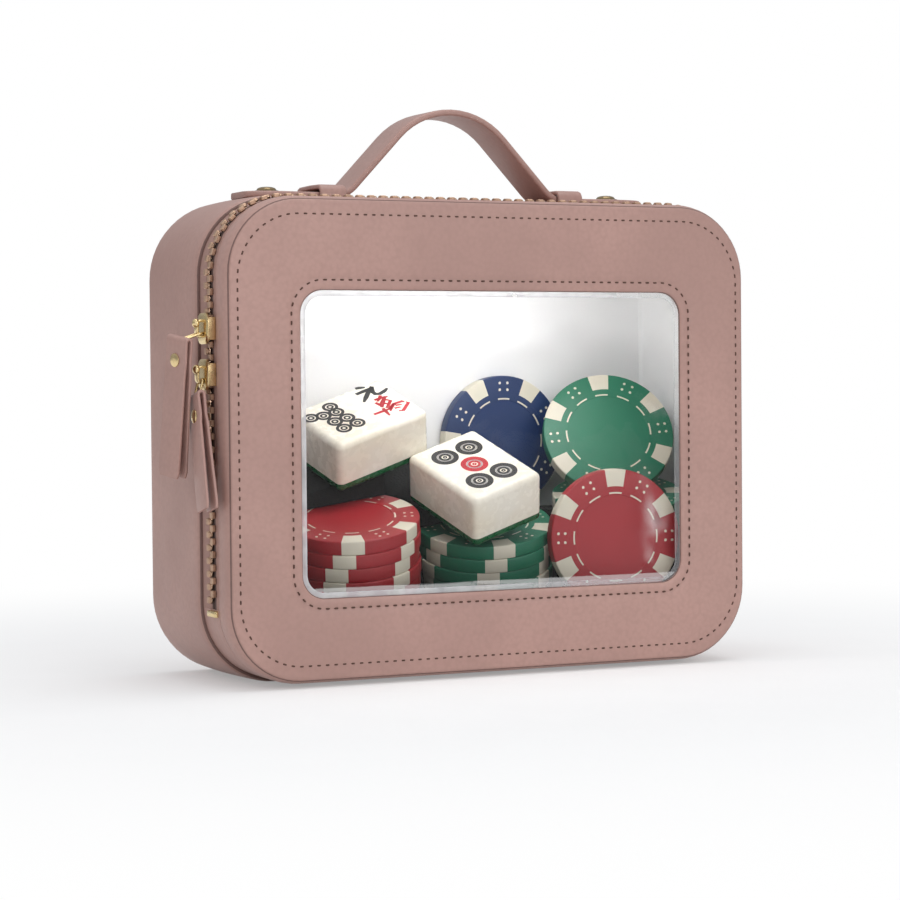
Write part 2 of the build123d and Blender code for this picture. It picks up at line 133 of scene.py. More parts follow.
class Value:
    """An output of a material's node. Sums written with it add Math nodes."""

    def __init__(self, finish, socket):
        self.finish, self.socket = finish, socket

    def _sum(self, operation, first, second=None):
        sockets = {0: first}
        if second is not None:
            sockets[1] = second
        return self.finish.node("ShaderNodeMath", {"operation": operation}, sockets)

    def __add__(self, other):
        return self._sum("ADD", self, other)

    __radd__ = __add__

    def __sub__(self, other):
        return self._sum("SUBTRACT", self, other)

    def __rsub__(self, other):
        return self._sum("SUBTRACT", other, self)

    def __mul__(self, other):
        return self._sum("MULTIPLY", self, other)

    __rmul__ = __mul__

    def __mod__(self, other):
        return self._sum("FLOORED_MODULO", self, other)

    def __lt__(self, other):
        return self._sum("LESS_THAN", self, other)

    def __gt__(self, other):
        return self._sum("GREATER_THAN", self, other)

    def __abs__(self):
        return self._sum("ABSOLUTE", self)

    def __pow__(self, other):
        return self._sum("POWER", self, other)

    def wave(self):
        """The sine of the value."""
        return self._sum("SINE", self)

    def least(self, other):
        return self._sum("MINIMUM", self, other)

    def most(self, other):
        return self._sum("MAXIMUM", self, other)

    def between(self, low, high):
        """0 below low, 1 above high, and smooth in the middle."""
        sockets = {0: self, 1: low, 2: high}
        return self.finish.node("ShaderNodeMapRange", {"interpolation_type": "SMOOTHSTEP"}, sockets)


class Finish:
    """One material: a principled shader and the nodes that feed it."""

    def __init__(self, name, colour, roughness=0.5, **constants):
        self.material = bpy.data.materials.new(name)
        self.material.use_nodes = True
        self.material.diffuse_color = (*colour, 1)
        self.tree = self.material.node_tree
        self.tree.nodes.clear()
        self.output = self.tree.nodes.new("ShaderNodeOutputMaterial")
        self.shader = self.tree.nodes.new("ShaderNodeBsdfPrincipled")
        self.tree.links.new(self.shader.outputs[0], self.output.inputs["Surface"])
        self.set("Base Color", (*colour, 1))
        self.set("Roughness", roughness)
        for key, value in constants.items():
            self.set(key.replace("_", " "), value)

    def _feed(self, socket, value):
        if isinstance(value, Value):
            self.tree.links.new(value.socket, socket)
        else:
            socket.default_value = value

    def set(self, name, value):
        """Gives one of the shader's sockets a value or a link."""
        self._feed(self.shader.inputs[name], value)

    def node(self, kind, settings=None, sockets=None, out=0):
        """Adds a node by its type, settings and sockets, and gives one of its outputs."""
        made = self.tree.nodes.new(kind)
        for key, value in (settings or {}).items():
            setattr(made, key, value)
        for key, value in (sockets or {}).items():
            self._feed(made.inputs[key], value)
        return Value(self, made.outputs[out])

    def spot(self):
        return self.node("ShaderNodeTexCoord", out="Object")

    def noise(self, place, scale, detail=2.0, roughness=0.5):
        sockets = {"Vector": place, "Scale": scale, "Detail": detail, "Roughness": roughness}
        return self.node("ShaderNodeTexNoise", None, sockets)

    def cells(self, place, scale, feature="F1"):
        return self.node("ShaderNodeTexVoronoi", {"feature": feature}, {"Vector": place, "Scale": scale})

    def axes(self, place):
        made = self.tree.nodes.new("ShaderNodeSeparateXYZ")
        self._feed(made.inputs[0], place)
        return [Value(self, output) for output in made.outputs]

    def mix(self, share, first, second):
        """A colour between two colours."""
        colours = {0: share}
        for number, colour in ((6, first), (7, second)):
            colours[number] = colour if isinstance(colour, Value) else (*colour, 1)
        return self.node("ShaderNodeMix", {"data_type": "RGBA"}, colours, 2)

    def bump(self, height, depth, strength=1.0):
        """Raises the surface by height times depth in millimetres."""
        sockets = {"Height": height, "Distance": depth * MM, "Strength": strength}
        self.set("Normal", self.node("ShaderNodeBump", None, sockets))


def scaled(colour, factor):
    return tuple(min(1.0, part * factor) for part in colour)


def leather_finish(name, colour, roughness=0.46):
    """Pebbled leather with a soft drift of colour, and painted shade in the grain's grooves that leaves the
    high spots paler.
    """
    made = Finish(name, colour, roughness)
    place = made.spot()
    drift = made.noise(place, 22, 3.0)
    fine = made.noise(place, 900, 3.0)
    pebble = made.cells(place, 760, "SMOOTH_F1")
    crease = made.noise(place, 120, 4.0, 0.6)
    tone = made.mix(drift.between(0.35, 0.7), scaled(colour, 0.93), scaled(colour, 1.07))
    # painted shade: the grain's grooves are darkened, so the high spots look paler
    groove_shade = (pebble * 0.7 + fine * 0.3).between(0.25, 0.75)
    made.set("Base Color", made.mix(groove_shade * 0.35, tone, scaled(colour, 0.8)))
    made.set("Roughness", (roughness - 0.06) + 0.14 * crease)
    made.bump((1 - pebble) * 0.6 + fine * 0.25 + crease * 0.5, 0.11, 0.55)
    return made.material


def thread_finish(name, colour):
    """Waxed thread with a twist."""
    made = Finish(name, colour, 0.55)
    place = made.spot()
    x, y, z = made.axes(place)
    twist = ((x + z + y) * 9000).wave()
    made.set("Base Color", made.mix(made.noise(place, 400), scaled(colour, 0.7), scaled(colour, 1.3)))
    made.bump(twist, 0.03)
    return made.material


def tape_finish(name, colour):
    """The zip's tape: woven, with painted shade where the teeth sit on it."""
    made = Finish(name, colour, 0.8)
    place = made.spot()
    x, y, z = made.axes(place)
    turns = 2 * math.pi / (0.5 * MM)
    weave = ((x + z) * turns).wave() * ((y + x * 0.3 - z * 0.3) * turns).wave()
    # painted shade: the tape is darkened along the chain, under and between the teeth
    out_of_teeth_shade = abs(y - CHAIN * MM).between(1.5 * MM, 2.4 * MM)
    tone = made.mix(out_of_teeth_shade, scaled(colour, 0.22), colour)
    made.set("Base Color", made.mix(weave.between(-1, 1) * 0.12, tone, scaled(colour, 0.75)))
    made.bump(weave * 0.5 + made.noise(place, 700) * 0.5, 0.04)
    return made.material


def lining_finish(name, colour):
    """Smooth white lining with soft pulls in it, and painted shade over its lower part."""
    made = Finish(name, colour, 0.62)
    place = made.spot()
    pull = made.noise(place, 26, 2.0)
    x, y, z = made.axes(place)
    # painted shade: the lower part of the interior is a little greyer, with a wavy edge
    lower = (z + (pull - 0.5) * 0.03).between(0.098, 0.112)
    painted_shade_grey = scaled(colour, 0.84)
    tone = made.mix(lower, painted_shade_grey, colour)
    made.set("Base Color", made.mix(pull.between(0.3, 0.8) * 0.2, tone, scaled(colour, 0.93)))
    made.bump(made.noise(place, 70, 3.0) + made.noise(place, 1200) * 0.1, 0.25, 0.6)
    return made.material


def board_finish(name, colour):
    """Pressed grey board with fibres."""
    made = Finish(name, colour, 0.85)
    place = made.spot()
    fibre = made.noise(place, 500, 6.0, 0.7)
    made.set("Base Color", made.mix(fibre, scaled(colour, 0.75), scaled(colour, 1.2)))
    made.bump(fibre, 0.08)
    return made.material


def metal_finish(name, colour, roughness=0.2):
    """Warm polished metal with faint wear."""
    made = Finish(name, colour, roughness, Metallic=1.0)
    place = made.spot()
    wear = made.noise(place, 260, 4.0, 0.6)
    made.set("Base Color", made.mix(wear.between(0.45, 0.8), colour, scaled(colour, 0.72)))
    made.set("Roughness", (roughness - 0.05) + 0.22 * wear)
    made.bump(made.noise(place, 1500, 2.0), 0.012)
    return made.material


def foam_finish(name, colour):
    """Black foam with open cells; its black also stands in for the shade in the gaps between the chips and
    tiles.
    """
    made = Finish(name, colour, 0.95)
    place = made.spot()
    pores = made.cells(place, 1300)
    made.set("Base Color", made.mix(pores.between(0.1, 0.6), scaled(colour, 0.4), scaled(colour, 1.5)))
    made.bump(pores, 0.18)
    return made.material


def ivory_finish(name, colour, shaded):
    """Polished resin that is warmer deep down."""
    made = Finish(name, colour, 0.26, Coat_Weight=0.25)
    place = made.spot()
    cloud = made.noise(place, 45, 3.0)
    grain = made.noise(place, 380, 2.0)
    made.set("Base Color", made.mix(cloud.between(0.35, 0.75) * 0.4, colour, shaded))
    made.set("Roughness", 0.2 + 0.14 * grain)
    made.bump(grain, 0.01)
    return made.material


def ink_finish(name, colour):
    """Paint that fills a carved sign."""
    made = Finish(name, colour, 0.4)
    place = made.spot()
    brush = made.noise(place, 650, 4.0, 0.6)
    made.set("Base Color", made.mix(brush.between(0.4, 0.8) * 0.5, colour, scaled(colour, 1.8)))
    made.bump(brush, 0.03)
    return made.material


def chip_finish(name, colour, cream):
    """A chip's colour with its edge spots, four-dot pips and the dashes round the middle."""
    made = Finish(name, colour, 0.42)
    place = made.node("ShaderNodeUVMap", {"uv_map": "chip"})
    u, v, _ = made.axes(place)
    across, up = u - 0.5, v - 0.5
    turn = made.node("ShaderNodeMath", {"operation": "ARCTAN2"}, {0: up, 1: across})
    away = (across * across + up * up) ** 0.5 * 2
    sixth, twelfth = math.pi / 3, math.pi / 6
    spot_turn = abs((turn + sixth / 2) % sixth - sixth / 2)
    spots = (spot_turn < 0.165) * (away > 0.745)
    pip_turn = turn % sixth - sixth / 2
    side = abs(pip_turn * away) - 0.066
    rise = abs(away - 0.84) - 0.052
    pips = (side * side + rise * rise) < 0.00044
    dash_turn = abs((turn + twelfth / 2) % twelfth - twelfth / 2)
    dashes = (abs(away - 0.648) < 0.012) * (dash_turn < 0.15)
    pale = spots.most(pips.most(dashes))
    cloud = made.noise(made.spot(), 160, 4.0, 0.6)
    tone = made.mix(cloud, scaled(colour, 0.9), scaled(colour, 1.12))
    middle = (away < 0.62) * 0.12
    tone = made.mix(middle, tone, scaled(colour, 1.4))
    light = made.mix(cloud, scaled(cream, 0.92), scaled(cream, 1.05))
    made.set("Base Color", made.mix(pale, tone, light))
    groove = (abs(away - 0.73) < 0.012) * 0.4
    made.bump(cloud * 0.3 + made.noise(made.spot(), 1400) * 0.3 - groove, 0.05)
    return made.material


def clear_finish(name):
    """Clear sheet: see-through, with a mirror's gloss that grows at a slant, a painted highlight on the creased
    band at the right and a painted reflection band along the bottom.
    """
    made = Finish(name, (1.0, 1.0, 1.0), 0.06, Metallic=1.0)
    place = made.spot()
    x, y, z = made.axes(place)
    fold = made.noise(place, 34, 3.0, 0.6)
    # painted highlight and reflection: the creased band at the right edge and a thin band along the bottom get
    # more mirror cover
    edge = (x - 0.052 + (fold - 0.5) * 0.012).between(0.0, 0.013)
    gloss = made.node("ShaderNodeFresnel", None, {"IOR": 1.45})
    low = 1 - (z + (fold - 0.5) * 0.0006).between(0.0300, 0.0304)
    crease_highlight_and_reflection_band = (edge * fold.between(0.5, 0.66) * 0.6).most(low * 0.3)
    made.set("Roughness", 0.03 + 0.12 * edge)
    made.bump(fold, 0.5, 0.35)
    clear = made.node("ShaderNodeBsdfTransparent")
    cover = (gloss * 0.4 + crease_highlight_and_reflection_band).least(1.0)
    blend = made.node("ShaderNodeMixShader", None, {0: cover, 1: clear, 2: Value(made, made.shader.outputs[0])})
    made.tree.links.new(blend.socket, made.output.inputs["Surface"])
    return made.material


def welt_finish(name, colour):
    """The frosted edge of the sheet."""
    made = Finish(name, colour, 0.3)
    place = made.spot()
    milk = made.noise(place, 90, 3.0)
    x, y, z = made.axes(place)
    thick = (0.06 - x + z * 0.3).between(0.02, 0.11)
    made.set("Alpha", 0.1 + (0.15 + 0.75 * thick) * milk)
    made.set("Roughness", 0.2 + 0.2 * milk)
    made.bump(milk, 0.2)
    return made.material


# Modelling ------------------------------------------------------------------------------------------


def rest():
    """Leaves edit mode with nothing selected."""
    if bpy.context.mode != "OBJECT":
        bpy.ops.object.mode_set(mode="OBJECT")
    bpy.ops.object.select_all(action="DESELECT")


def take(*pieces):
    """Selects pieces, the last one active."""
    rest()
    for piece in pieces:
        piece.select_set(True)
        bpy.context.view_layer.objects.active = piece


def upright(y, x=0.0, z=0.0):
    """A frame whose flat faces the front, at a depth."""
    return Matrix.Translation(Vector((x, y, z)) * MM) @ Matrix.Rotation(math.pi / 2, 4, "X")


def axes_at(point, across, up):
    """A frame at a point in millimetres, from its first two axes."""
    first, second = Vector(across).normalized(), Vector(up).normalized()
    third = first.cross(second)
    turned = Matrix((first, second, third)).transposed().to_4x4()
    return Matrix.Translation(Vector(point) * MM) @ turned


def pick(data, numbers):
    """Selects corners of the piece in edit mode by their numbers."""
    form = bmesh.from_edit_mesh(data)
    form.verts.ensure_lookup_table()
    chosen = set(numbers)
    for corner in form.verts:
        corner.select = corner.index in chosen
    form.select_flush_mode()
    bmesh.update_edit_mesh(data)


def pick_faces(data, wanted):
    """Selects the faces of the piece in edit mode that pass a test, and nothing else."""
    form = bmesh.from_edit_mesh(data)
    chosen = [face for face in form.faces if wanted(face)]
    for face in form.faces:
        face.select_set(False)
    for corner in form.verts:
        corner.select_set(False)
    for face in chosen:
        face.select_set(True)
    bmesh.update_edit_mesh(data)


def add_outline(data, width, depth, rounding, place, steps):
    """Adds one rounded outline in edit mode, and gives the numbers of its corners."""
    count = len(bmesh.from_edit_mesh(data).verts)
    bpy.ops.mesh.select_all(action="DESELECT")
    bpy.ops.mesh.primitive_plane_add(size=1)
    bpy.ops.transform.resize(value=(width * MM, depth * MM, 1), center_override=(0, 0, 0))
    bpy.ops.mesh.bevel(offset=rounding * MM, segments=steps, affect="VERTICES")
    bpy.ops.mesh.delete(type="ONLY_FACE")
    form = bmesh.from_edit_mesh(data)
    form.verts.ensure_lookup_table()
    added = range(count, len(form.verts))
    for number in added:
        form.verts[number].co = place @ form.verts[number].co
    bmesh.update_edit_mesh(data)
    return added


def loft(name, sections, steps=4, ends=True, ring=False, angle=35):
    """Joins rounded outlines (width, depth, rounding, frame) one after another into a skin."""
    rest()
    bpy.ops.mesh.primitive_plane_add(size=1)
    piece = bpy.context.object
    piece.name = piece.data.name = name
    bpy.ops.object.mode_set(mode="EDIT")
    bpy.ops.mesh.select_all(action="SELECT")
    bpy.ops.mesh.delete(type="VERT")
    loops = []
    for section in sections:
        loops.append(add_outline(piece.data, *section, steps))
        if len(loops) > 1:
            pick(piece.data, [*loops[-2], *loops[-1]])
            bpy.ops.mesh.bridge_edge_loops()
    if ring:
        pick(piece.data, [*loops[0], *loops[-1]])
        bpy.ops.mesh.bridge_edge_loops()
    elif ends:
        for loop in (loops[0], loops[-1]):
            pick(piece.data, loop)
            bpy.ops.mesh.edge_face_add()
    close(angle)
    return piece


def close(angle=35):
    """Merges doubles, turns the faces outwards, smooths the piece and leaves edit mode."""
    bpy.ops.mesh.select_all(action="SELECT")
    bpy.ops.mesh.remove_doubles(threshold=0.00002)
    bpy.ops.mesh.normals_make_consistent(inside=False)
    bpy.ops.object.mode_set(mode="OBJECT")
    bpy.ops.object.shade_smooth_by_angle(angle=math.radians(angle))


def heading(path, number):
    """How far a path runs either way across one of its points, from the points beside it."""
    before, after = path[max(0, number - 1)], path[min(len(path) - 1, number + 1)]
    return after[0] - before[0], after[1] - before[1]


def finish_with(piece, kind, **settings):
    """Adds a modifier to a piece and applies it."""
    take(piece)
    bpy.ops.object.modifier_add(type=kind)
    modifier = piece.modifiers[-1]
    for key, value in settings.items():
        setattr(modifier, key, value)
    bpy.ops.object.modifier_apply(modifier=modifier.name)


def thicken(piece, wall, offset=-1.0, angle=35):
    """Gives a skin its thickness, inwards."""
    finish_with(piece, "SOLIDIFY", thickness=wall * MM, offset=offset)
    take(piece)
    bpy.ops.object.shade_smooth_by_angle(angle=math.radians(angle))


def cut(piece, point, normal, keep_inner):
    """Cuts a piece off at a plane."""
    take(piece)
    bpy.ops.object.mode_set(mode="EDIT")
    bpy.ops.mesh.select_all(action="SELECT")
    bpy.ops.mesh.bisect(
        plane_co=Vector(point) * MM, plane_no=normal, clear_outer=keep_inner, clear_inner=not keep_inner
    )
    rest()


def join(name, pieces):
    """Makes one piece of several."""
    take(*pieces)
    if len(pieces) > 1:
        bpy.ops.object.join()
    made = bpy.context.view_layer.objects.active
    made.name = made.data.name = name
    return made


def copies(name, model, places):
    """Copies a model to every frame, each copy with its own mesh, and joins them."""
    made = []
    for place in places:
        copy = model.copy()
        copy.data = model.data.copy()
        bpy.context.scene.collection.objects.link(copy)
        copy.data.transform(place)
        made.append(copy)
    bpy.data.objects.remove(model)
    return join(name, made)


def dress(piece, body, slot, finish, *nodes):
    """Gives a piece its finish and the body that it rides on, and hides the solids it stands for. The slot is
    not used.
    """
    piece.data.materials.clear()
    piece.data.materials.append(finish)
    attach(piece, body)
    if nodes:
        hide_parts(*nodes)
    return piece


def tube(name, width, depth, rounding, wire, place):
    """A ring of round wire with a rounded outline."""
    rest()
    bpy.ops.mesh.primitive_plane_add(size=1)
    piece = bpy.context.object
    bpy.ops.object.mode_set(mode="EDIT")
    bpy.ops.mesh.select_all(action="SELECT")
    bpy.ops.transform.resize(value=(width * MM, depth * MM, 1), center_override=(0, 0, 0))
    bpy.ops.mesh.bevel(offset=rounding * MM, segments=5, affect="VERTICES")
    bpy.ops.mesh.delete(type="ONLY_FACE")
    rest()
    take(piece)
    bpy.ops.object.convert(target="CURVE")
    piece.data.bevel_depth = wire * MM / 2
    piece.data.bevel_resolution = 3
    bpy.ops.object.convert(target="MESH")
    piece = bpy.context.object
    piece.name = piece.data.name = name
    piece.data.transform(place)
    bpy.ops.object.mode_set(mode="EDIT")
    close(60)
    return piece


def track(width, height, radius, x, z, run):
    """Point and outward turn, run mm along a rounded outline from its left side's lower end, going up."""
    span, rise, arc = width - 2 * radius, height - 2 * radius, radius * math.pi / 2
    run %= 2 * (span + rise) + 4 * arc
    right, top = span / 2, rise / 2
    legs = (
        ("side", rise, -right - radius, -top, 0, 1, math.pi),
        ("bend", arc, -right, top, 0, 0, math.pi),
        ("side", span, -right, top + radius, 1, 0, math.pi / 2),
        ("bend", arc, right, top, 0, 0, math.pi / 2),
        ("side", rise, right + radius, top, 0, -1, 0.0),
        ("bend", arc, right, -top, 0, 0, 0.0),
        ("side", span, right, -top - radius, -1, 0, -math.pi / 2),
        ("bend", arc, -right, -top, 0, 0, -math.pi / 2),
    )
    for kind, length, px, pz, dx, dz, turn in legs:
        if run <= length:
            break
        run -= length
    if kind == "side":
        return x + px + dx * run, z + pz + dz * run, turn
    turn -= run / radius
    return x + px + radius * math.cos(turn), z + pz + radius * math.sin(turn), turn


def track_length(width, height, radius):
    return 2 * (width + height - 4 * radius) + 2 * math.pi * radius


def facing(x, y, z, turn):
    """A frame on the case's side: first axis outwards, second to the back, third along the outline."""
    out = Vector((math.cos(turn), 0, math.sin(turn)))
    return axes_at((x, y, z), out, (0, 1, 0))


def case_outline(inset, y):
    """The case's outline at a depth, drawn in on every side."""
    return (WIDTH - 2 * inset, HEIGHT - 2 * inset, CORNER - inset, upright(y, 0, MIDDLE))


# Settings -------------------------------------------------------------------------------------------


class CaseSettings(bpy.types.PropertyGroup):
    """Sizes and colours of the case."""

    leather_colour: bpy.props.FloatVectorProperty(
        name="Leather", description="Colour of the leather", subtype="COLOR", default=shade(180, 142, 132)
    )
    thread_colour: bpy.props.FloatVectorProperty(
        name="Thread", description="Colour of the stitching", subtype="COLOR", default=shade(84, 55, 42)
    )
    tape_colour: bpy.props.FloatVectorProperty(
        name="Zip tape", description="Colour of the zip's tape", subtype="COLOR", default=shade(170, 134, 124)
    )
    metal_colour: bpy.props.FloatVectorProperty(
        name="Metal", description="Colour of the zip's metal and the studs", subtype="COLOR",
        default=shade(226, 202, 152),
    )
    lining_colour: bpy.props.FloatVectorProperty(
        name="Lining", description="Colour of the lining", subtype="COLOR", default=shade(248, 248, 248)
    )
    stitch_pitch: bpy.props.FloatProperty(
        name="Stitch pitch", description="From one stitch to the next", subtype="DISTANCE", unit="LENGTH",
        default=0.00285, min=0.0015, max=0.006,
    )
    stitch_length: bpy.props.FloatProperty(
        name="Stitch length", description="Seen length of one stitch", subtype="DISTANCE", unit="LENGTH",
        default=0.0013, min=0.0008, max=0.005,
    )
    edge_stitch_setback: bpy.props.FloatProperty(
        name="Edge stitches", description="From the lid's edge to the outer row of stitches",
        subtype="DISTANCE", unit="LENGTH", default=0.0036, min=0.002, max=0.01,
    )
    edge_stitch_drop: bpy.props.FloatProperty(
        name="Edge stitches' drop", description="From the lid's top or bottom to the outer row of stitches",
        subtype="DISTANCE", unit="LENGTH", default=0.0055, min=0.002, max=0.01,
    )
    window_stitch_setback: bpy.props.FloatProperty(
        name="Window stitches", description="From the window to the inner row of stitches",
        subtype="DISTANCE", unit="LENGTH", default=0.003, min=0.001, max=0.01,
    )


class ChipSettings(bpy.types.PropertyGroup):
    """Sizes and colours of the chips and tiles."""

    diameter: bpy.props.FloatProperty(
        name="Chip diameter", description="Diameter of a chip", subtype="DISTANCE", unit="LENGTH",
        default=0.0445,
    )
    thickness: bpy.props.FloatProperty(
        name="Chip thickness", description="Thickness of a chip", subtype="DISTANCE", unit="LENGTH",
        default=0.0046,
    )
    red: bpy.props.FloatVectorProperty(
        name="Red chips", description="Colour of the red chips", subtype="COLOR", default=shade(158, 32, 40)
    )
    green: bpy.props.FloatVectorProperty(
        name="Green chips", description="Colour of the green chips", subtype="COLOR", default=shade(28, 110, 82)
    )
    blue: bpy.props.FloatVectorProperty(
        name="Blue chips", description="Colour of the blue chip", subtype="COLOR", default=shade(28, 50, 92)
    )
    cream: bpy.props.FloatVectorProperty(
        name="Spots", description="Colour of the spots and dots", subtype="COLOR", default=shade(214, 208, 190)
    )
    ivory: bpy.props.FloatVectorProperty(
        name="Tiles", description="Colour of the tiles", subtype="COLOR", default=shade(240, 235, 222)
    )
    tile_back: bpy.props.FloatVectorProperty(
        name="Tile backs", description="Colour of the tiles' backs", subtype="COLOR", default=shade(0, 92, 48)
    )


FINISHES = {}


def finishes():
    """All finishes, made once."""
    if FINISHES:
        return FINISHES
    case, chips = bpy.context.scene.game_case, bpy.context.scene.game_chips
    leather = tuple(case.leather_colour)
    FINISHES["leather"] = leather_finish("leather", leather)
    FINISHES["strap_leather"] = leather_finish("strap_leather", scaled(leather, 0.97), 0.42)
    # painted shade: a dark cut edge, darkened to stand in for the shade in the seams and gaps too
    FINISHES["cut_edge"] = leather_finish("dark_edge_leather_and_seam_shade", scaled(leather, 0.45), 0.7)
    FINISHES["thread"] = thread_finish("waxed_thread", tuple(case.thread_colour))
    FINISHES["tape"] = tape_finish("zip_tape_weave", tuple(case.tape_colour))
    FINISHES["metal"] = metal_finish("warm_gold_metal", tuple(case.metal_colour))
    FINISHES["teeth"] = metal_finish("zip_teeth_metal", shade(196, 164, 140), 0.42)
    FINISHES["stud"] = metal_finish("stud_metal", shade(150, 130, 98), 0.12)
    FINISHES["lining"] = lining_finish("white_lining", tuple(case.lining_colour))
    FINISHES["board"] = board_finish("pressed_board", shade(150, 140, 128))
    # painted shade: the black foam also stands in for the shade in the gaps behind and between the stacks
    FINISHES["foam"] = foam_finish("black_foam_and_gap_shade", shade(11, 11, 12))
    FINISHES["clear"] = clear_finish("clear_sheet")
    FINISHES["welt"] = welt_finish("frosted_welt", shade(232, 230, 232))
    cream = tuple(chips.cream)
    FINISHES["red"] = chip_finish("red_chip_clay", tuple(chips.red), cream)
    FINISHES["green"] = chip_finish("green_chip_clay", tuple(chips.green), cream)
    FINISHES["blue"] = chip_finish("blue_chip_clay", tuple(chips.blue), cream)
    FINISHES["ivory"] = ivory_finish("ivory_resin", tuple(chips.ivory), shade(226, 208, 172))
    FINISHES["tile_back"] = ivory_finish("green_resin", tuple(chips.tile_back), shade(0, 70, 36))
    FINISHES["black_ink"] = ink_finish("black_sign_paint", shade(16, 15, 16))
    FINISHES["red_ink"] = ink_finish("red_sign_paint", shade(176, 20, 34))
    FINISHES["grey_ink"] = ink_finish("grey_sign_paint", shade(150, 148, 146))
    return FINISHES


def stitch_row(name, places, body):
    """A row of stitches: one is modelled and copied to every frame (first axis along, third out)."""
    case = bpy.context.scene.game_case
    length = case.stitch_length / MM
    sections = []
    for share, size in ((-0.5, 0.26), (-0.34, 0.5), (0.34, 0.5), (0.5, 0.26)):
        dip = -0.1 if abs(share) == 0.5 else 0.02
        at = axes_at((share * length, 0, dip), (0, 1, 0), (0, 0, 1))
        sections.append((size, size * 0.75, size * 0.3, at))
    model = loft("stitch", sections, steps=1, angle=80)
    row = copies(name, model, places)
    return dress(row, body, "leather", finishes()["thread"])


def stitch_places(width, height, radius, x, z, y):
    """Frames of the stitches on a rounded outline on the front or back."""
    pitch = bpy.context.scene.game_case.stitch_pitch / MM
    length = track_length(width, height, radius)
    count = round(length / pitch)
    places = []
    for number in range(count):
        px, pz, turn = track(width, height, radius, x, z, number * length / count)
        out = -1 if y < 0 else 1
        along = Vector((math.sin(turn), 0, -math.cos(turn)))
        third = Vector((0, out, 0))
        places.append(axes_at((px, y, pz), along, third.cross(along)))
    return places


# Pieces ---------------------------------------------------------------------------------------------


class PieceOperator(bpy.types.Operator):
    """Models one group of the case's pieces."""

    bl_idname = "game_case.piece"
    bl_label = "Piece"
    bl_options = {"REGISTER", "UNDO"}

    def execute(self, context):
        self.make(context)
        rest()
        return {"FINISHED"}


class GAMECASE_OT_rear_half(PieceOperator):
    """Models the leather of the deep rear half, its back and its bottom band"""

    bl_idname = "game_case.rear_half"
    bl_label = "Rear half"

    def make(self, context):
        leather = finishes()["leather"]
        profile = [(1.1, RIM + 0.1), (0.55, RIM - 0.15), (0.12, RIM + 0.25), (-0.12, RIM + 1.0)]
        for step in range(1, 12):
            share = step / 12
            bulge = -0.12 - 0.3 * math.sin(math.pi * share)
            profile.append((bulge, RIM + 1 + (BACK - 3.5 - RIM - 1) * share))
        profile += [(-0.12, BACK - 3.4), (0.0, BACK - 2.5), (0.25, BACK - 1.75), (0.62, BACK - 1.6)]
        profile += [(0.35, BACK - 1.3), (0.4, BACK - 0.8), (0.8, BACK - 0.2)]
        profile += [(1.5, BACK + 0.02), (3.0, BACK + 0.05)]
        profile += [(5.0, BACK - 0.15), (8.0, BACK + 0.1), (16.0, BACK + 0.25)]
        shell = loft("rear_leather", [case_outline(*at) for at in profile], steps=14, ends=False)
        take(shell)
        bpy.ops.object.mode_set(mode="EDIT")
        form = bmesh.from_edit_mesh(shell.data)
        for corner in form.verts:
            corner.select = corner.co.y > (BACK + 0.2) * MM
        form.select_flush_mode()
        bmesh.update_edit_mesh(shell.data)
        bpy.ops.mesh.edge_face_add()
        close()
        thicken(shell, LEATHER)
        dress(shell, "case", "leather", leather, "body_gusset", "back_panel")
        # painted shade: a dark strip at the rim stands for its cut edge and the shade in the seam above the zip
        # tape
        edge = [(1.3, RIM - 0.3), (0.75, RIM - 0.3), (0.5, RIM - 0.2), (0.4, RIM - 0.05)]
        rim = loft("rear_cut_edge", [case_outline(*at) for at in edge], steps=14, ends=False, angle=70)
        dress(rim, "case", "leather", finishes()["cut_edge"])
        places = stitch_places(WIDTH - 8, HEIGHT - 8, CORNER - 4, 0, MIDDLE, BACK + 0.02)
        stitch_row("back_stitches", places, "case")
        band = [(1.25, LID_RIM), (1.15, LID_RIM + 2), (1.2, CHAIN), (1.35, RIM), (1.5, TUCK)]
        strip = loft("hinge_band", [case_outline(*at) for at in band], steps=14, ends=False)
        finish_with(strip, "SUBSURF", levels=1, render_levels=1, subdivision_type="SIMPLE")
        cut(strip, (0, 0, CHAIN_END + 0.3), (0, 0, 1), True)
        thicken(strip, LEATHER - 0.2)
        dress(strip, "case", "leather", leather, "hinge_strip")
        del strip["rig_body"]
        strip.parent = None
        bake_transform(strip)
        for name in ("body_board", "back_board"):
            board = frame["nodes"][name]
            board.data.materials.clear()
            board.data.materials.append(finishes()["board"])


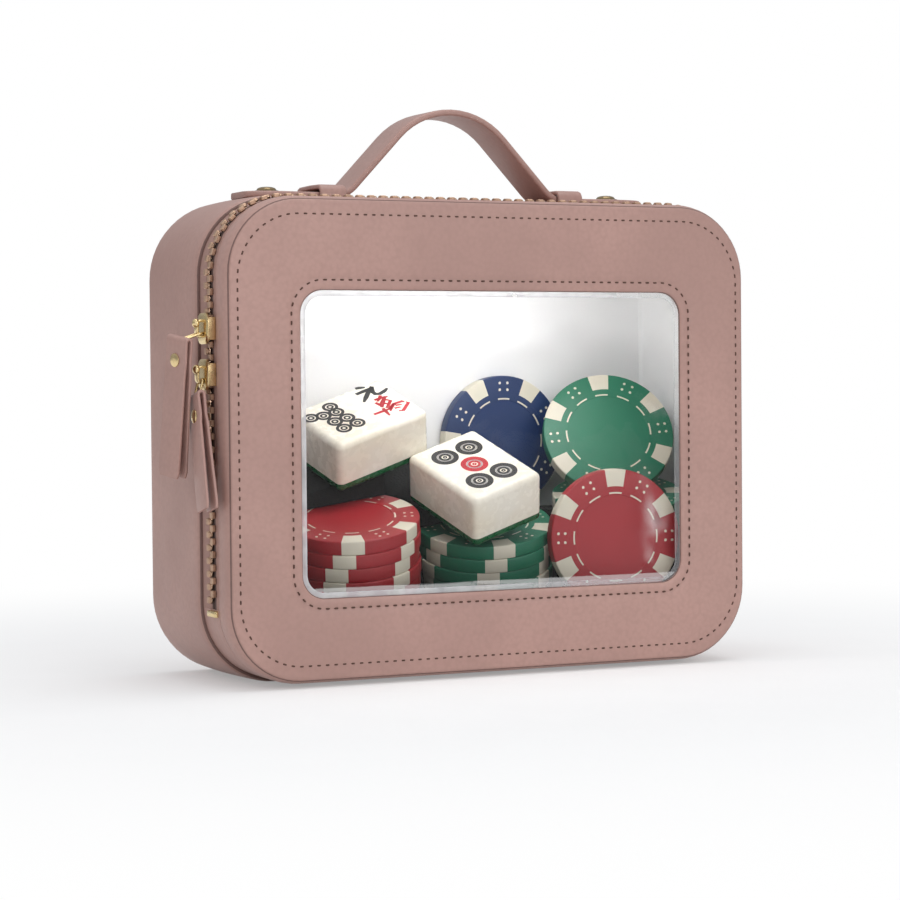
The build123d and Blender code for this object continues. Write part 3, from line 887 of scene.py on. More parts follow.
class GAMECASE_OT_lid_half(PieceOperator):
    """Models the leather of the lid with its rolled edge, its window opening and both rows of stitches"""

    bl_idname = "game_case.lid_half"
    bl_label = "Lid half"

    def make(self, context):
        case = context.scene.game_case
        outer = case.edge_stitch_setback / MM
        inner = case.window_stitch_setback / MM
        profile = [(1.9, LID_RIM + 0.0), (1.4, LID_RIM - 0.1), (1.15, LID_RIM - 0.5), (1.05, LID_RIM - 2)]
        profile += [(1.05, FRONT + 5.0), (1.15, FRONT + 3.4), (1.5, FRONT + 1.9), (2.0, FRONT + 1.05)]
        profile += [(2.3, FRONT + 0.95), (2.25, FRONT + 0.55), (2.6, FRONT + 0.12), (3.2, FRONT - 0.05)]
        sections = [case_outline(*at) for at in profile]
        start = 3.2
        wide, tall, radius = WINDOW
        first = (WIDTH - 2 * start, HEIGHT - 2 * start, CORNER - start, 0.0, MIDDLE)
        last = (wide, tall, radius, WINDOW_MIDDLE[0], WINDOW_MIDDLE[1])
        reach = (first[0] - last[0]) / 2
        stops = [0.35, 0.8, 1.2, 1.6, 2.4, 4.0, 6.5, 10.0, reach - 7.0, reach - 4.6]
        stops += [reach - left for left in (3.8, 3.3, 3.0, 2.7, 2.2, 1.2, 0.5, 0.1)]
        for away in stops:
            share = away / reach
            size = [a + (b - a) * share for a, b in zip(first, last)]
            dip = 0.3 * math.exp(-((abs(reach - away - inner) / 0.75) ** 2))
            pillow = 0.3 * math.sin(math.pi * min(1.0, share * 1.05))
            roll = 0.5 * max(0.0, 1 - (reach - away) / 0.9) ** 2
            y = FRONT - pillow + dip + roll
            sections.append((size[0], size[1], size[2], upright(y, size[3], size[4])))
        sections.append((wide - 0.1, tall - 0.1, radius, upright(FRONT + 1.3, *WINDOW_MIDDLE)))
        shell = loft("lid_leather", sections, steps=14, ends=False)
        thicken(shell, LEATHER - 0.15)
        dress(shell, "lid", "leather", finishes()["leather"], "lid_frame", "lid_gusset")
        # painted shade: a dark strip stands for the front panel's cut edge and the shade under it
        seam = [(1.98, FRONT + 1.0), (2.12, FRONT + 0.82), (2.18, FRONT + 0.6), (2.26, FRONT + 0.45)]
        line = loft("lid_cut_edge", [case_outline(*at) for at in seam], steps=14, ends=False, angle=70)
        dress(line, "lid", "leather", finishes()["cut_edge"])
        # painted shade: a dark lip stands for the window's cut edge and the shade in the gap before the clear
        # sheet
        lip = [(0.2, 0.5), (-0.12, 0.62), (-0.2, 0.85), (-0.12, 1.15), (0.2, 1.25)]
        sections = []
        for grow, deep in lip:
            sections.append((wide + 2 * grow, tall + 2 * grow, radius, upright(FRONT + deep, *WINDOW_MIDDLE)))
        line = loft("window_cut_edge", sections, steps=12, ends=False)
        dress(line, "lid", "leather", finishes()["cut_edge"])
        edge, drop = outer + LID_INSET, case.edge_stitch_drop / MM + LID_INSET
        places = stitch_places(WIDTH - 2 * edge, HEIGHT - 2 * drop, CORNER - edge, 0, MIDDLE, FRONT - 0.12)
        stitch_row("edge_stitches", places, "lid")
        places = stitch_places(wide + 2 * inner, tall + 2 * inner, radius + inner, *WINDOW_MIDDLE, FRONT + 0.02)
        stitch_row("window_stitches", places, "lid")
        board = frame["nodes"]["lid_board"]
        board.data.materials.clear()
        board.data.materials.append(finishes()["board"])


class GAMECASE_OT_linings(PieceOperator):
    """Models the white linings of both halves"""

    bl_idname = "game_case.linings"
    bl_label = "Linings"

    def make(self, context):
        lining = finishes()["lining"]
        wall = LEATHER + BOARD
        deep = BACK - wall - 0.6
        profile = [(wall + 0.05, TUCK), (wall + 0.6, TUCK + 0.3), (wall + 0.62, 5), (wall + 0.62, deep - 3)]
        profile += [(wall + 1.1, deep - 0.9), (wall + 2.2, deep), (wall + 12, deep - 0.1)]
        rear = loft("rear_lining", [case_outline(*at) for at in profile], steps=12, ends=False)
        take(rear)
        bpy.ops.object.mode_set(mode="EDIT")
        pick_deep(rear.data, deep - 0.15, wall + 11.5)
        bpy.ops.mesh.edge_face_add()
        close()
        dress(rear, "case", "lining", lining, "body_lining")
        inner = LID_INSET + wall
        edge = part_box("lid_lining")[1].y / MM
        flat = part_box("lid_lining")[0].y / MM
        profile = [(inner + 0.05, edge), (inner + 0.6, edge - 0.2)]
        profile += [(inner + 0.65, flat + 2), (inner + 1.4, flat + 0.7)]
        sections = [case_outline(*at) for at in profile]
        wide, tall, radius = (size + margin for size, margin in zip(WINDOW, (3.2, 3.2, 1.6)))
        sections.append((wide + 0.6, tall + 0.6, radius, upright(flat + 0.6, *WINDOW_MIDDLE)))
        sections.append((wide, tall, radius, upright(flat, *WINDOW_MIDDLE)))
        front = loft("lid_lining_cloth", sections, steps=12, ends=False)
        dress(front, "lid", "lining", lining, "lid_lining")


def pick_deep(data, depth, inset):
    """Selects the innermost corners at the back of the rear lining."""
    form = bmesh.from_edit_mesh(data)
    half = (WIDTH / 2 - inset) * MM
    for corner in form.verts:
        corner.select = corner.co.y > depth * MM and abs(corner.co.x) < half
    form.select_flush_mode()
    bmesh.update_edit_mesh(data)


class GAMECASE_OT_window(PieceOperator):
    """Models the clear sheet with its creases and the frosted welt in the opening"""

    bl_idname = "game_case.window"
    bl_label = "Window"

    def make(self, context):
        rest()
        wide, tall = WINDOW[0] + 2.4, WINDOW[1] + 2.4
        bpy.ops.mesh.primitive_grid_add(x_subdivisions=90, y_subdivisions=64, size=1)
        sheet = bpy.context.object
        sheet.name = sheet.data.name = "clear_sheet"
        bpy.ops.object.mode_set(mode="EDIT")
        bpy.ops.mesh.select_all(action="SELECT")
        bpy.ops.transform.resize(value=(wide * MM, tall * MM, 1), center_override=(0, 0, 0))
        form = bmesh.from_edit_mesh(sheet.data)
        for corner in form.verts:
            x, z = corner.co.x / MM, corner.co.y / MM
            side = max(0.0, min(1.0, (x - 40) / 26))
            low = max(0.0, min(1.0, (-z - 32) / 15))
            edge = min(1.0, (wide / 2 - abs(x)) / 3, (tall / 2 - abs(z)) / 3)
            wave = math.sin(x * 0.75 + 2.2 * math.sin(z * 0.11)) + 0.6 * math.sin(z * 0.3 + x * 0.4)
            corner.co.z = (0.16 * side * wave + 0.1 * low * math.sin(z * 0.9 + x * 0.05)) * edge * MM
            corner.co = upright(FRONT + LEATHER + 0.25, *WINDOW_MIDDLE) @ corner.co
        bmesh.update_edit_mesh(sheet.data)
        close(60)
        dress(sheet, "lid", "pane", finishes()["clear"], "window_pane")
        wide, tall, radius = WINDOW
        spots = [(0.4, 1.0), (-0.2, 0.75), (-0.9, 0.7), (-1.5, 0.85), (-1.9, 1.15), (-1.5, 1.3)]
        sections = []
        for grow, depth in spots:
            place = upright(FRONT + depth, *WINDOW_MIDDLE)
            sections.append((wide + 2 * grow, tall + 2 * grow, max(4.5, radius + grow), place))
        welt = loft("window_welt", sections, steps=12, ends=False)
        dress(welt, "lid", "pane", finishes()["welt"])


class GAMECASE_OT_zip_chain(PieceOperator):
    """Models both tapes, both rows of teeth and the end stops"""

    bl_idname = "game_case.zip_chain"
    bl_label = "Zip chain"

    def make(self, context):
        tape = finishes()["tape"]
        bands = {
            "lid_tape": ((LID_RIM - 1.5, CHAIN - 0.6), "lid", "zip_tape_lid"),
            "rear_tape": ((CHAIN + 0.6, RIM + 2.0), "case", "zip_tape_body"),
        }
        for name, ((near, far), body, node) in bands.items():
            profile = [(2.2, near), (1.6, near + 0.6), (1.35, (near + far) / 2), (1.3, far)]
            band = loft(name, [case_outline(*at) for at in profile], steps=14, ends=False)
            cut(band, (0, 0, CHAIN_END), (0, 0, 1), False)
            thicken(band, 0.8)
            dress(band, body, "tape", tape, node)
        wide, tall, radius = WIDTH - 2 * LID_INSET, HEIGHT - 2 * LID_INSET, CORNER - LID_INSET
        rise = tall - 2 * radius
        length = 2 * rise + (wide - 2 * radius) + math.pi * radius + 2.5
        for name, body, node, middle, start, nose in (
            ("lid_teeth", "lid", "zip_teeth_lid", -1.5, 5.15, 1),
            ("rear_teeth", "case", "zip_teeth_body", 1.5, 3.15, -1),
        ):
            model = self.tooth(nose)
            places = []
            for number in range(int((length - start - TOOTH_PITCH) / TOOTH_PITCH) + 1):
                x, z, turn = track(wide, tall, radius, 0, MIDDLE, start - 1.25 + number * TOOTH_PITCH)
                places.append(facing(x, CHAIN + middle, z, turn))
            dress(copies(name, model, places), body, "gold", finishes()["teeth"], node)
        stops = []
        for side in (-1, 1):
            place = axes_at((side * TEETH_SEAT, CHAIN, CHAIN_END - 1.0), (0, 1, 0), (0, 0, 1))
            sections = []
            for shrink, out in ((0.0, -0.1), (0.0, 0.7), (0.25, 1.0), (0.8, 1.15)):
                at = place @ Matrix.Translation((0, 0, side * out * MM))
                sections.append((6.8 - shrink, 2.0 - shrink, 0.4, at))
            stops.append(loft("stop", sections, steps=3))
        dress(join("zip_stops", stops), "case", "gold", finishes()["metal"], "zip_end_stops")

    def tooth(self, nose):
        """One tooth in the frame of facing(): a bar across the tape with a nose towards the other row."""
        rest()
        bpy.ops.mesh.primitive_cube_add(size=1)
        tooth = bpy.context.object
        bpy.ops.object.mode_set(mode="EDIT")
        bpy.ops.mesh.select_all(action="SELECT")
        bpy.ops.transform.resize(value=(1.4 * MM, 2.0 * MM, 2.1 * MM), center_override=(0, 0, 0))
        bpy.ops.transform.translate(value=(0.7 * MM, 0, 0))
        pick_faces(tooth.data, lambda face: face.normal.y * nose > 0.9)
        bpy.ops.mesh.inset(thickness=0.3 * MM)
        bpy.ops.mesh.extrude_region_move(TRANSFORM_OT_translate={"value": (0, nose * 1.0 * MM, 0)})
        bpy.ops.transform.resize(value=(0.7, 1, 0.8))
        bpy.ops.mesh.select_all(action="SELECT")
        bpy.ops.mesh.bevel(offset=0.28 * MM, segments=1, affect="EDGES")
        close(30)
        return tooth


class GAMECASE_OT_runners(PieceOperator):
    """Models both zip runners with their links, folded leather pulls and rivets"""

    bl_idname = "game_case.runners"
    bl_label = "Zip runners"

    PULLS = {
        "upper": (10.0, 42.0, 7.0, 72.0, 17.0, 10.0),
        "lower": (9.0, 35.0, 5.6, 14.0, 0.0, -14.0),
    }

    def make(self, context):
        for name, height in RUNNERS.items():
            self.runner(name, height)
            self.pull(name, height, *self.PULLS[name])

    def runner(self, name, height):
        metal = finishes()["metal"]
        wall = axes_at((0, CHAIN, height), (0, -1, 0), (0, 0, 1))
        parts = []
        face = PLATE_FACE
        plate = [(8.0, 8.9, -0.95), (8.6, 9.5, -0.75), (8.6, 9.5, -0.3)]
        plate += [(8.1, 9.0, -0.05), (6.6, 7.4, 0.1), (3.0, 4.0, 0.16)]
        sections = []
        for wide, tall, out in plate:
            at = wall @ Matrix.Translation((0, 0, (face + out) * MM))
            sections.append((wide, tall, min(wide, tall) * 0.3, at))
        parts.append(loft("plate", sections, steps=5))
        for side in (-1, 1):
            sections = []
            for low in (-2.75, -0.8):
                at = wall @ Matrix.Translation((side * 3.95 * MM, 0, (face + low) * MM))
                sections.append((0.62, 7.0, 0.25, at))
            parts.append(loft("flange", sections, steps=2))
        under = wall @ Matrix.Translation((0, 0, (TEETH_SEAT - LEATHER - 0.1 - 0.9) * MM))
        sections = [(8.2, 9.1, 2.2, under), (8.6, 9.5, 2.2, under @ Matrix.Translation((0, 0, 0.3 * MM)))]
        sections.append((8.6, 9.5, 2.2, under @ Matrix.Translation((0, 0, 0.9 * MM))))
        parts.append(loft("under_plate", sections, steps=5))
        at = wall @ Matrix.Translation((0, 0, (TEETH_SEAT - LEATHER - 0.2) * MM))
        top = wall @ Matrix.Translation((0, 0, (face - 0.5) * MM))
        parts.append(loft("post", [(0.6, 4.75, 0.2, at), (0.6, 4.75, 0.2, top)], steps=2))
        path = [(-2.4, -0.2), (-2.4, 0.9), (-2.2, 1.45), (-1.6, 1.78), (0.0, 1.85)]
        path += [(-up, out) for up, out in reversed(path[:4])]
        sections = []
        for number, (up, out) in enumerate(path):
            along = Vector((0, *heading(path, number))).normalized()
            local = axes_at((0, up, face + out), (1, 0, 0), along.cross(Vector((1, 0, 0))))
            wide = 2.2 if number not in (4, 5) else 2.6
            sections.append((wide, 0.8, 0.3, wall @ local))
        parts.append(loft("bridge", sections, steps=3, angle=50))
        knob = wall @ Matrix.Translation((0.4 * MM, 1.6 * MM, (face + 1.3) * MM))
        sections = [(1.6, 1.6, 0.79, knob)]
        for size, out in ((2.6, 0.25), (3.0, 0.8), (2.7, 1.35), (1.7, 1.8), (0.6, 1.95)):
            sections.append((size, size, size * 0.495, knob @ Matrix.Translation((0, 0, out * MM))))
        parts.append(loft("knob", sections, steps=5, angle=60))
        dress(join(name + "_runner_body", parts), name + "_runner", "gold", metal, "slider_" + name)

    def pull(self, name, height, width, length, link, stand_out, twist, lean):
        face = PLATE_FACE
        pivot = axes_at((-(face + 0.6), CHAIN, height - 1.4), (0, -1, 0), (0, 0, 1))
        hang = pivot @ Matrix.Rotation(-math.radians(stand_out), 4, "X")
        middle = hang @ Matrix.Translation((0, -link / 2 * MM, 0))
        wire = tube(name + "_link", 3.8, link, 0.9, 0.8, middle)
        body = name + "_pull"
        dress(wire, body, "gold", finishes()["metal"], "bail_" + name)
        out = math.radians(stand_out)
        bar = Matrix.Translation((0, -link * math.cos(out) * MM, link * math.sin(out) * MM))
        swing = pivot @ bar @ Matrix.Rotation(-math.radians(lean), 4, "Z")
        swing = swing @ Matrix.Rotation(math.radians(twist), 4, "Y")
        gap, wall = 0.95, 0.9
        path = []
        for share in (1.0, 0.955, 0.88, 0.78, 0.6, 0.4, 0.25):
            away = share * length
            splay = 0.35 + 1.1 * max(0.0, share - 0.3)
            path.append((-away, gap + splay * 0.5, share))
        path += [(-6.0, gap - 0.12, 0.14), (-2.0, gap, 0.05), (0.0, gap, 0.0)]
        for turn in (30, 60, 90, 120, 150):
            path.append((gap * math.sin(math.radians(turn)), gap * math.cos(math.radians(turn)), 0.0))
        back = [(up, -out_, share) for up, out_, share in reversed(path[:10])]
        path += back
        sections = []
        for number, (up, away, share) in enumerate(path):
            along = Vector((0, *heading(path, number))).normalized()
            local = axes_at((0, up, away), (1, 0, 0), along.cross(Vector((1, 0, 0))))
            wide = width
            if share > 0.97:
                wide = width * 0.86
            sections.append((wide, wall, 0.32, swing @ local))
        leather = loft(name + "_pull_leather", sections, steps=3, angle=50)
        dress(leather, body, "leather", finishes()["strap_leather"], "pull_" + name)
        rivets = []
        for side in (1, -1):
            base = swing @ Matrix.Translation((0, -6.0 * MM, side * (gap + 0.3) * MM))
            sections = []
            for size, rise in ((3.6, 0.0), (4.2, 0.2), (4.1, 0.42), (3.2, 0.62), (1.2, 0.7)):
                at = base @ Matrix.Translation((0, 0, side * rise * MM))
                sections.append((size, size, size * 0.495, at))
            rivets.append(loft("rivet_head", sections, steps=6))
        dress(join(name + "_rivet", rivets), body, "gold", finishes()["metal"], "rivet_" + name)


class GAMECASE_OT_handle(PieceOperator):
    """Models the arched handle strap, its flat ends, the keepers and the studs"""

    bl_idname = "game_case.handle"
    bl_label = "Handle"

    def make(self, context):
        leather = finishes()["strap_leather"]
        middle = (STRAP_BASE + STRAP_TOP) / 2
        crown, foot, span = STRAP_TOP + HANDLE_RISE - CROWN_RADIUS, STRAP_TOP + FOOT_RADIUS, HANDLE_SPAN
        between = math.hypot(span, foot - crown)
        climb = math.asin((CROWN_RADIUS + FOOT_RADIUS) / between) - math.atan2(foot - crown, span)
        path = [((-span, middle), 0.0), ((-span + 0.6, middle), 0.0)]
        for step in range(1, 7):
            turn = climb * step / 6
            path.append(((-span + 10 * math.sin(turn), foot - 10 * math.cos(turn)), turn))
        low, high = path[-1][0], (-26 * math.sin(climb), crown + 26 * math.cos(climb))
        for step in (1, 2, 3):
            share = step / 4
            path.append(((low[0] + (high[0] - low[0]) * share, low[1] + (high[1] - low[1]) * share), climb))
        for step in range(0, 15):
            turn = climb - 2 * climb * step / 14
            path.append(((-26 * math.sin(turn), crown + 26 * math.cos(turn)), turn))
        rest_of = [((-x, z), -turn) for (x, z), turn in reversed(path[:11])]
        path += rest_of
        sections = []
        for (x, z), turn in path:
            normal = Vector((-math.sin(turn), 0, math.cos(turn)))
            at = axes_at((x, STRAP_MIDDLE, z), (0, 1, 0), normal)
            sections.append((STRAP_WIDTH, STRAP_THICKNESS, 0.8, at))
        arch = loft("handle_strap", sections, steps=4, angle=50)
        dress(arch, "case", "leather", leather, "handle_crown", "handle_flank_left", "handle_flank_right")
        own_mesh(arch)
        for side, name in ((-1, "left"), (1, "right")):
            self.strap_end(side, name, middle, leather)
            self.keeper(side, name)
            self.stud(side, name)

    def strap_end(self, side, name, middle, leather):
        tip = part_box("strap_end_right")[1].x / MM
        lifts = ((HANDLE_SPAN, 0.0), (50.0, 0.05), (60.0, 0.1), (tip - 4, 0.0))
        spots = [(x, STRAP_WIDTH, lift) for x, lift in lifts]
        spots.append((tip - 2.4, 16.2, -0.05))
        spots += [(tip - 1.2, 14.8, -0.1), (tip - 0.4, 12.8, -0.12), (tip - 0.05, 10.6, -0.12)]
        sections = []
        for x, wide, lift in spots:
            at = axes_at((side * x, STRAP_MIDDLE, middle + lift), (0, 1, 0), (0, 0, 1))
            sections.append((wide, STRAP_THICKNESS, 0.7, at))
        end = loft("strap_leather_" + name, sections, steps=4, angle=45)
        dress(end, "strap_" + name, "leather", leather, "strap_end_" + name)

    def keeper(self, side, name):
        """A leather loop that the strap runs through."""
        low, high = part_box("keeper_right")
        x = side * (low.x + high.x) / 2 / MM
        wide = (high.x - low.x) / MM
        half = (high.y - low.y) / 2 / MM - 0.7
        top = high.z / MM - 0.7
        path = [(-half, HEIGHT - 0.1), (-half, top - 3.0), (-half + 0.25, top - 1.4)]
        path += [(-half + 0.9, top - 0.4), (-half + 2.0, top)]
        path += [(0.0, top + 0.15)] + [(-y, z) for y, z in reversed(path)]
        sections = []
        for number, (y, z) in enumerate(path):
            along = Vector((0, *heading(path, number))).normalized()
            normal = along.cross(Vector((1, 0, 0)))
            sections.append((wide, 1.4, 0.5, axes_at((x, STRAP_MIDDLE + y, z), (1, 0, 0), normal)))
        loop = loft("keeper_loop_" + name, sections, steps=3, angle=50)
        dress(loop, "case", "leather", finishes()["strap_leather"], "keeper_" + name)

    def stud(self, side, name):
        low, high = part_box("stud_" + name)
        x = (low.x + high.x) / 2 / MM
        sections = []
        dome = [(7.6, -0.3), (8.2, 0.1), (8.2, 0.4), (7.4, 0.55), (6.4, 0.62)]
        dome += [(6.2, 0.95), (5.4, 1.35), (3.8, 1.62), (1.4, 1.75)]
        for size, rise in dome:
            at = Matrix.Translation(Vector((x, STRAP_MIDDLE, STRAP_TOP + 0.1 + rise)) * MM)
            sections.append((size, size, size * 0.495, at))
        stud = loft("dome_stud_" + name, sections, steps=8, angle=40)
        dress(stud, "strap_" + name, "gold", finishes()["stud"], "stud_" + name)


class GAMECASE_OT_foam(PieceOperator):
    """Softens the foam block's edges"""

    bl_idname = "game_case.foam"
    bl_label = "Foam"

    def make(self, context):
        rest()
        node = frame["nodes"]["foam_insert"]
        block = bpy.data.objects.new("foam_block", node.data.copy())
        bpy.context.scene.collection.objects.link(block)
        take(block)
        bpy.ops.object.mode_set(mode="EDIT")
        bpy.ops.mesh.select_all(action="SELECT")
        bpy.ops.mesh.remove_doubles(threshold=0.00002)
        bpy.ops.mesh.dissolve_limited(angle_limit=math.radians(2))
        rest()
        sharp = math.radians(50)
        finish_with(block, "BEVEL", width=0.7 * MM, segments=2, limit_method="ANGLE", angle_limit=sharp)
        take(block)
        bpy.ops.object.shade_smooth_by_angle(angle=math.radians(30))
        dress(block, "case", "foam", finishes()["foam"], "foam_insert")


def view_frame(point, turn, tip):
    """A frame at a point whose up axis tips towards a viewer who stands turned to the left."""
    away, over = math.radians(turn), math.radians(tip)
    place = Matrix.Translation(Vector(point) * MM) @ Matrix.Rotation(-away, 4, "Z")
    return place @ Matrix.Rotation(over, 4, "X") @ Matrix.Rotation(away, 4, "Z")


class GAMECASE_OT_chips(PieceOperator):
    """Models one chip and lays out the piles and the standing chips"""

    bl_idname = "game_case.chips"
    bl_label = "Chips"

    STACKS = {
        "red_chip_stack": ((-39.3, -5.0, 50.4), 18.0, 5, "red", 8.0),
        "green_chip_stack": ((12.0, 1.2, 46.7), 18.0, 5, "green", 20.0),
        "rear_green_chips": ((64.0, 3.5, 55.0), 15.0, 2, "green", 40.0),
    }
    STANDING = {
        "blue_chip": ((31.5, 24.3, 72.7), 0.0, 0.0, "blue", 0.0),
        "green_chip": ((61.5, 5.0, 75.4), 20.0, 28.0, "green", 35.0),
        "red_chip": ((47.6, -23.5, 41.9), 9.6, 0.0, "red", 30.0),
    }

    def make(self, context):
        chips = context.scene.game_chips
        model = self.chip(chips.diameter / 2, chips.thickness)
        step = chips.thickness / MM + 0.05
        for name, (point, tilt, count, finish, turn) in self.STACKS.items():
            for number in range(count):
                place = view_frame(point, VIEW_TURN, tilt)
                shift = 0.25 * math.sin(number * 2.4)
                place = place @ Matrix.Translation((shift * MM, -shift * MM, -number * step * MM))
                around = math.radians(turn - 6.0 * number + 2.0 * math.sin(number * 5.0))
                place = place @ Matrix.Rotation(around, 4, "Z")
                self.lay(model, f"{name}_{number + 1}", place, "case", finish, name)
        for name, (point, turn, lean, finish, spin) in self.STANDING.items():
            place = Matrix.Translation(Vector(point) * MM) @ Matrix.Rotation(-math.radians(turn), 4, "Z")
            place = place @ Matrix.Rotation(math.radians(90 - lean), 4, "X")
            place = place @ Matrix.Rotation(math.radians(spin), 4, "Z")
            self.lay(model, "standing_" + name, place, name, finish, name)
        bpy.data.objects.remove(model)

    def chip(self, radius, thickness):
        """A chip whose face lies on the origin, with eased edges and a shallow middle."""
        rest()
        place = (0, 0, -thickness / 2)
        bpy.ops.mesh.primitive_cylinder_add(vertices=72, radius=radius, depth=thickness, location=place)
        chip = bpy.context.object
        bpy.ops.object.transform_apply(location=True)
        bpy.ops.object.mode_set(mode="EDIT")
        pick_faces(chip.data, lambda face: abs(face.normal.z) > 0.9)
        bpy.ops.mesh.bevel(offset=0.4 * MM, segments=3, affect="EDGES")
        pick_faces(chip.data, lambda face: abs(face.normal.z) > 0.99 and face.calc_area() > radius * radius)
        bpy.ops.mesh.inset(thickness=radius * 0.36, use_individual=True)
        bpy.ops.mesh.inset(thickness=0.1 * MM, depth=-0.12 * MM, use_individual=True)
        bpy.ops.mesh.select_all(action="SELECT")
        bpy.ops.mesh.normals_make_consistent(inside=False)
        rest()
        take(chip)
        bpy.ops.object.shade_smooth_by_angle(angle=math.radians(30))
        layer = chip.data.uv_layers.active or chip.data.uv_layers.new()
        layer.name = "chip"
        for loop in chip.data.loops:
            corner = chip.data.vertices[loop.vertex_index].co
            layer.data[loop.index].uv = (corner.x / (2 * radius) + 0.5, corner.y / (2 * radius) + 0.5)
        return chip

    def lay(self, model, name, place, body, finish, node):
        chip = model.copy()
        chip.data = model.data.copy()
        chip.name = chip.data.name = name
        bpy.context.scene.collection.objects.link(chip)
        chip.data.transform(place)
        dress(chip, body, finish, finishes()[finish], node)


class GAMECASE_OT_tiles(PieceOperator):
    """Finishes the two tiles and paints their signs"""

    bl_idname = "game_case.tiles"
    bl_label = "Tiles"

    LEFT = ((-30.6, 6.7, 83.8), "left_tile")
    RIGHT = ((1.0, -13.3, 66.6), "right_tile")
    NINE = (
        ((7.6, 12.5), (8.8, 12.1), (10.6, 11.2)),
        ((5.6, 9.3), (8.9, 9.4), (12.6, 9.8)),
        ((12.7, 10.2), (9.3, 7.7), (6.9, 5.6), (4.7, 3.7)),
        ((12.4, 10.0), (10.8, 7.3), (10.7, 5.6), (11.9, 4.8), (14.0, 5.2), (16.0, 6.2)),
    )
    GREAT = (
        ((8.1, 2.6), (10.7, 2.4), (13.0, 1.9)),
        ((11.4, 3.8), (10.2, 2.4), (8.3, 1.2)),
        ((12.4, 2.3), (10.0, 0.5), (7.7, -1.0)),
        ((7.4, 1.0), (7.7, -0.8), (7.9, -2.6)),
        ((11.0, 0.7), (12.1, -0.9), (8.5, -4.0), (7.4, -2.4), (11.2, 0.8)),
        ((9.4, -1.1), (10.4, -2.3)),
        ((2.6, -4.7), (6.3, -4.9), (9.8, -5.0)),
        ((7.2, -3.4), (6.8, -5.6), (6.3, -8.4)),
        ((8.1, -5.4), (11.6, -3.3), (14.7, -3.6), (15.9, -5.6), (11.6, -8.6), (10.3, -7.9)),
        ((11.8, -3.3), (8.1, -6.3)),
        ((11.5, -4.4), (13.5, -5.2)),
        ((10.2, -5.7), (12.2, -6.3)),
    )
    CLUSTER = (
        (-5.7, 8.1), (-10.6, 4.8), (-6.0, 4.2), (-9.8, -0.4),
        (-5.3, -0.9), (-4.6, -5.6), (-9.9, -5.6), (-14.6, 6.2),
    )

    def make(self, context):
        for name in ("tile_left_face", "tile_right_face"):
            frame["nodes"][name].data.materials.clear()
            frame["nodes"][name].data.materials.append(finishes()["ivory"])
        for name in ("tile_left_back", "tile_right_back"):
            frame["nodes"][name].data.materials.clear()
            frame["nodes"][name].data.materials.append(finishes()["tile_back"])
        point, body = self.LEFT
        seat = view_frame(point, VIEW_TURN, 30.0) @ Matrix.Rotation(math.radians(11), 4, "Z")
        self.sign("nine_sign", self.NINE, 1.7, seat, body, "black_ink")
        self.sign("ten_thousand_sign", self.GREAT, 1.3, seat, body, "red_ink")
        rings = []
        for x, y in self.CLUSTER:
            at = seat @ Matrix.Translation((x * MM, y * MM, 0))
            rings.append(self.ring("cluster_ring", 2.65, 1.65, at))
            rings.append(self.ring("cluster_ring", 1.2, 0.55, at))
        dress(join("ring_cluster", rings), body, "ivory", finishes()["black_ink"])
        point, body = self.RIGHT
        seat = view_frame(point, VIEW_TURN, 30.0) @ Matrix.Rotation(math.radians(11), 4, "Z")
        for number, (x, y) in enumerate(((-4.9, 9.0), (4.9, 9.0), (0.0, -0.2), (4.9, -9.1), (-4.9, -9.1))):
            at = seat @ Matrix.Translation((x * MM, y * MM, 0))
            dark = finishes()["red_ink" if number == 2 else "black_ink"]
            dot = [self.ring("dot_ring", *band, at) for band in ((4.5, 2.75), (2.1, 1.2), (0.75, 0.25))]
            dress(join(f"dot_sign_{number + 1}", dot), body, "ivory", dark)
            pale = self.ring("pale_ring", 2.65, 2.2, at)
            pale.name = pale.data.name = f"dot_pale_ring_{number + 1}"
            dress(pale, body, "ivory", finishes()["grey_ink"])

    def ring(self, name, outer, inner, at):
        """A flat painted ring."""
        rest()
        bpy.ops.mesh.primitive_circle_add(vertices=40, radius=outer * MM, fill_type="NGON")
        ring = bpy.context.object
        ring.name = ring.data.name = name
        bpy.ops.object.mode_set(mode="EDIT")
        bpy.ops.mesh.select_all(action="SELECT")
        bpy.ops.mesh.inset(thickness=(outer - inner) * MM)
        bpy.ops.mesh.delete(type="FACE")
        bpy.ops.mesh.select_all(action="SELECT")
        bpy.ops.mesh.extrude_region_move(TRANSFORM_OT_translate={"value": (0, 0, 0.06 * MM)})
        close(30)
        ring.data.transform(at)
        return ring

    def sign(self, name, strokes, width, seat, body, ink):
        made = []
        for stroke in strokes:
            sections = []
            for number, (x, y) in enumerate(stroke):
                along = Vector((*heading(stroke, number), 0)).normalized()
                across = along.cross(Vector((0, 0, 1)))
                at = seat @ axes_at((x, y, 0), across, (0, 0, 1))
                wide = width * (0.5 if number == len(stroke) - 1 else 0.85 if number == 0 else 1.0)
                sections.append((wide, 0.12, 0.05, at))
            made.append(loft("stroke", sections, steps=1))
        dress(join(name, made), body, "ivory", finishes()[ink])


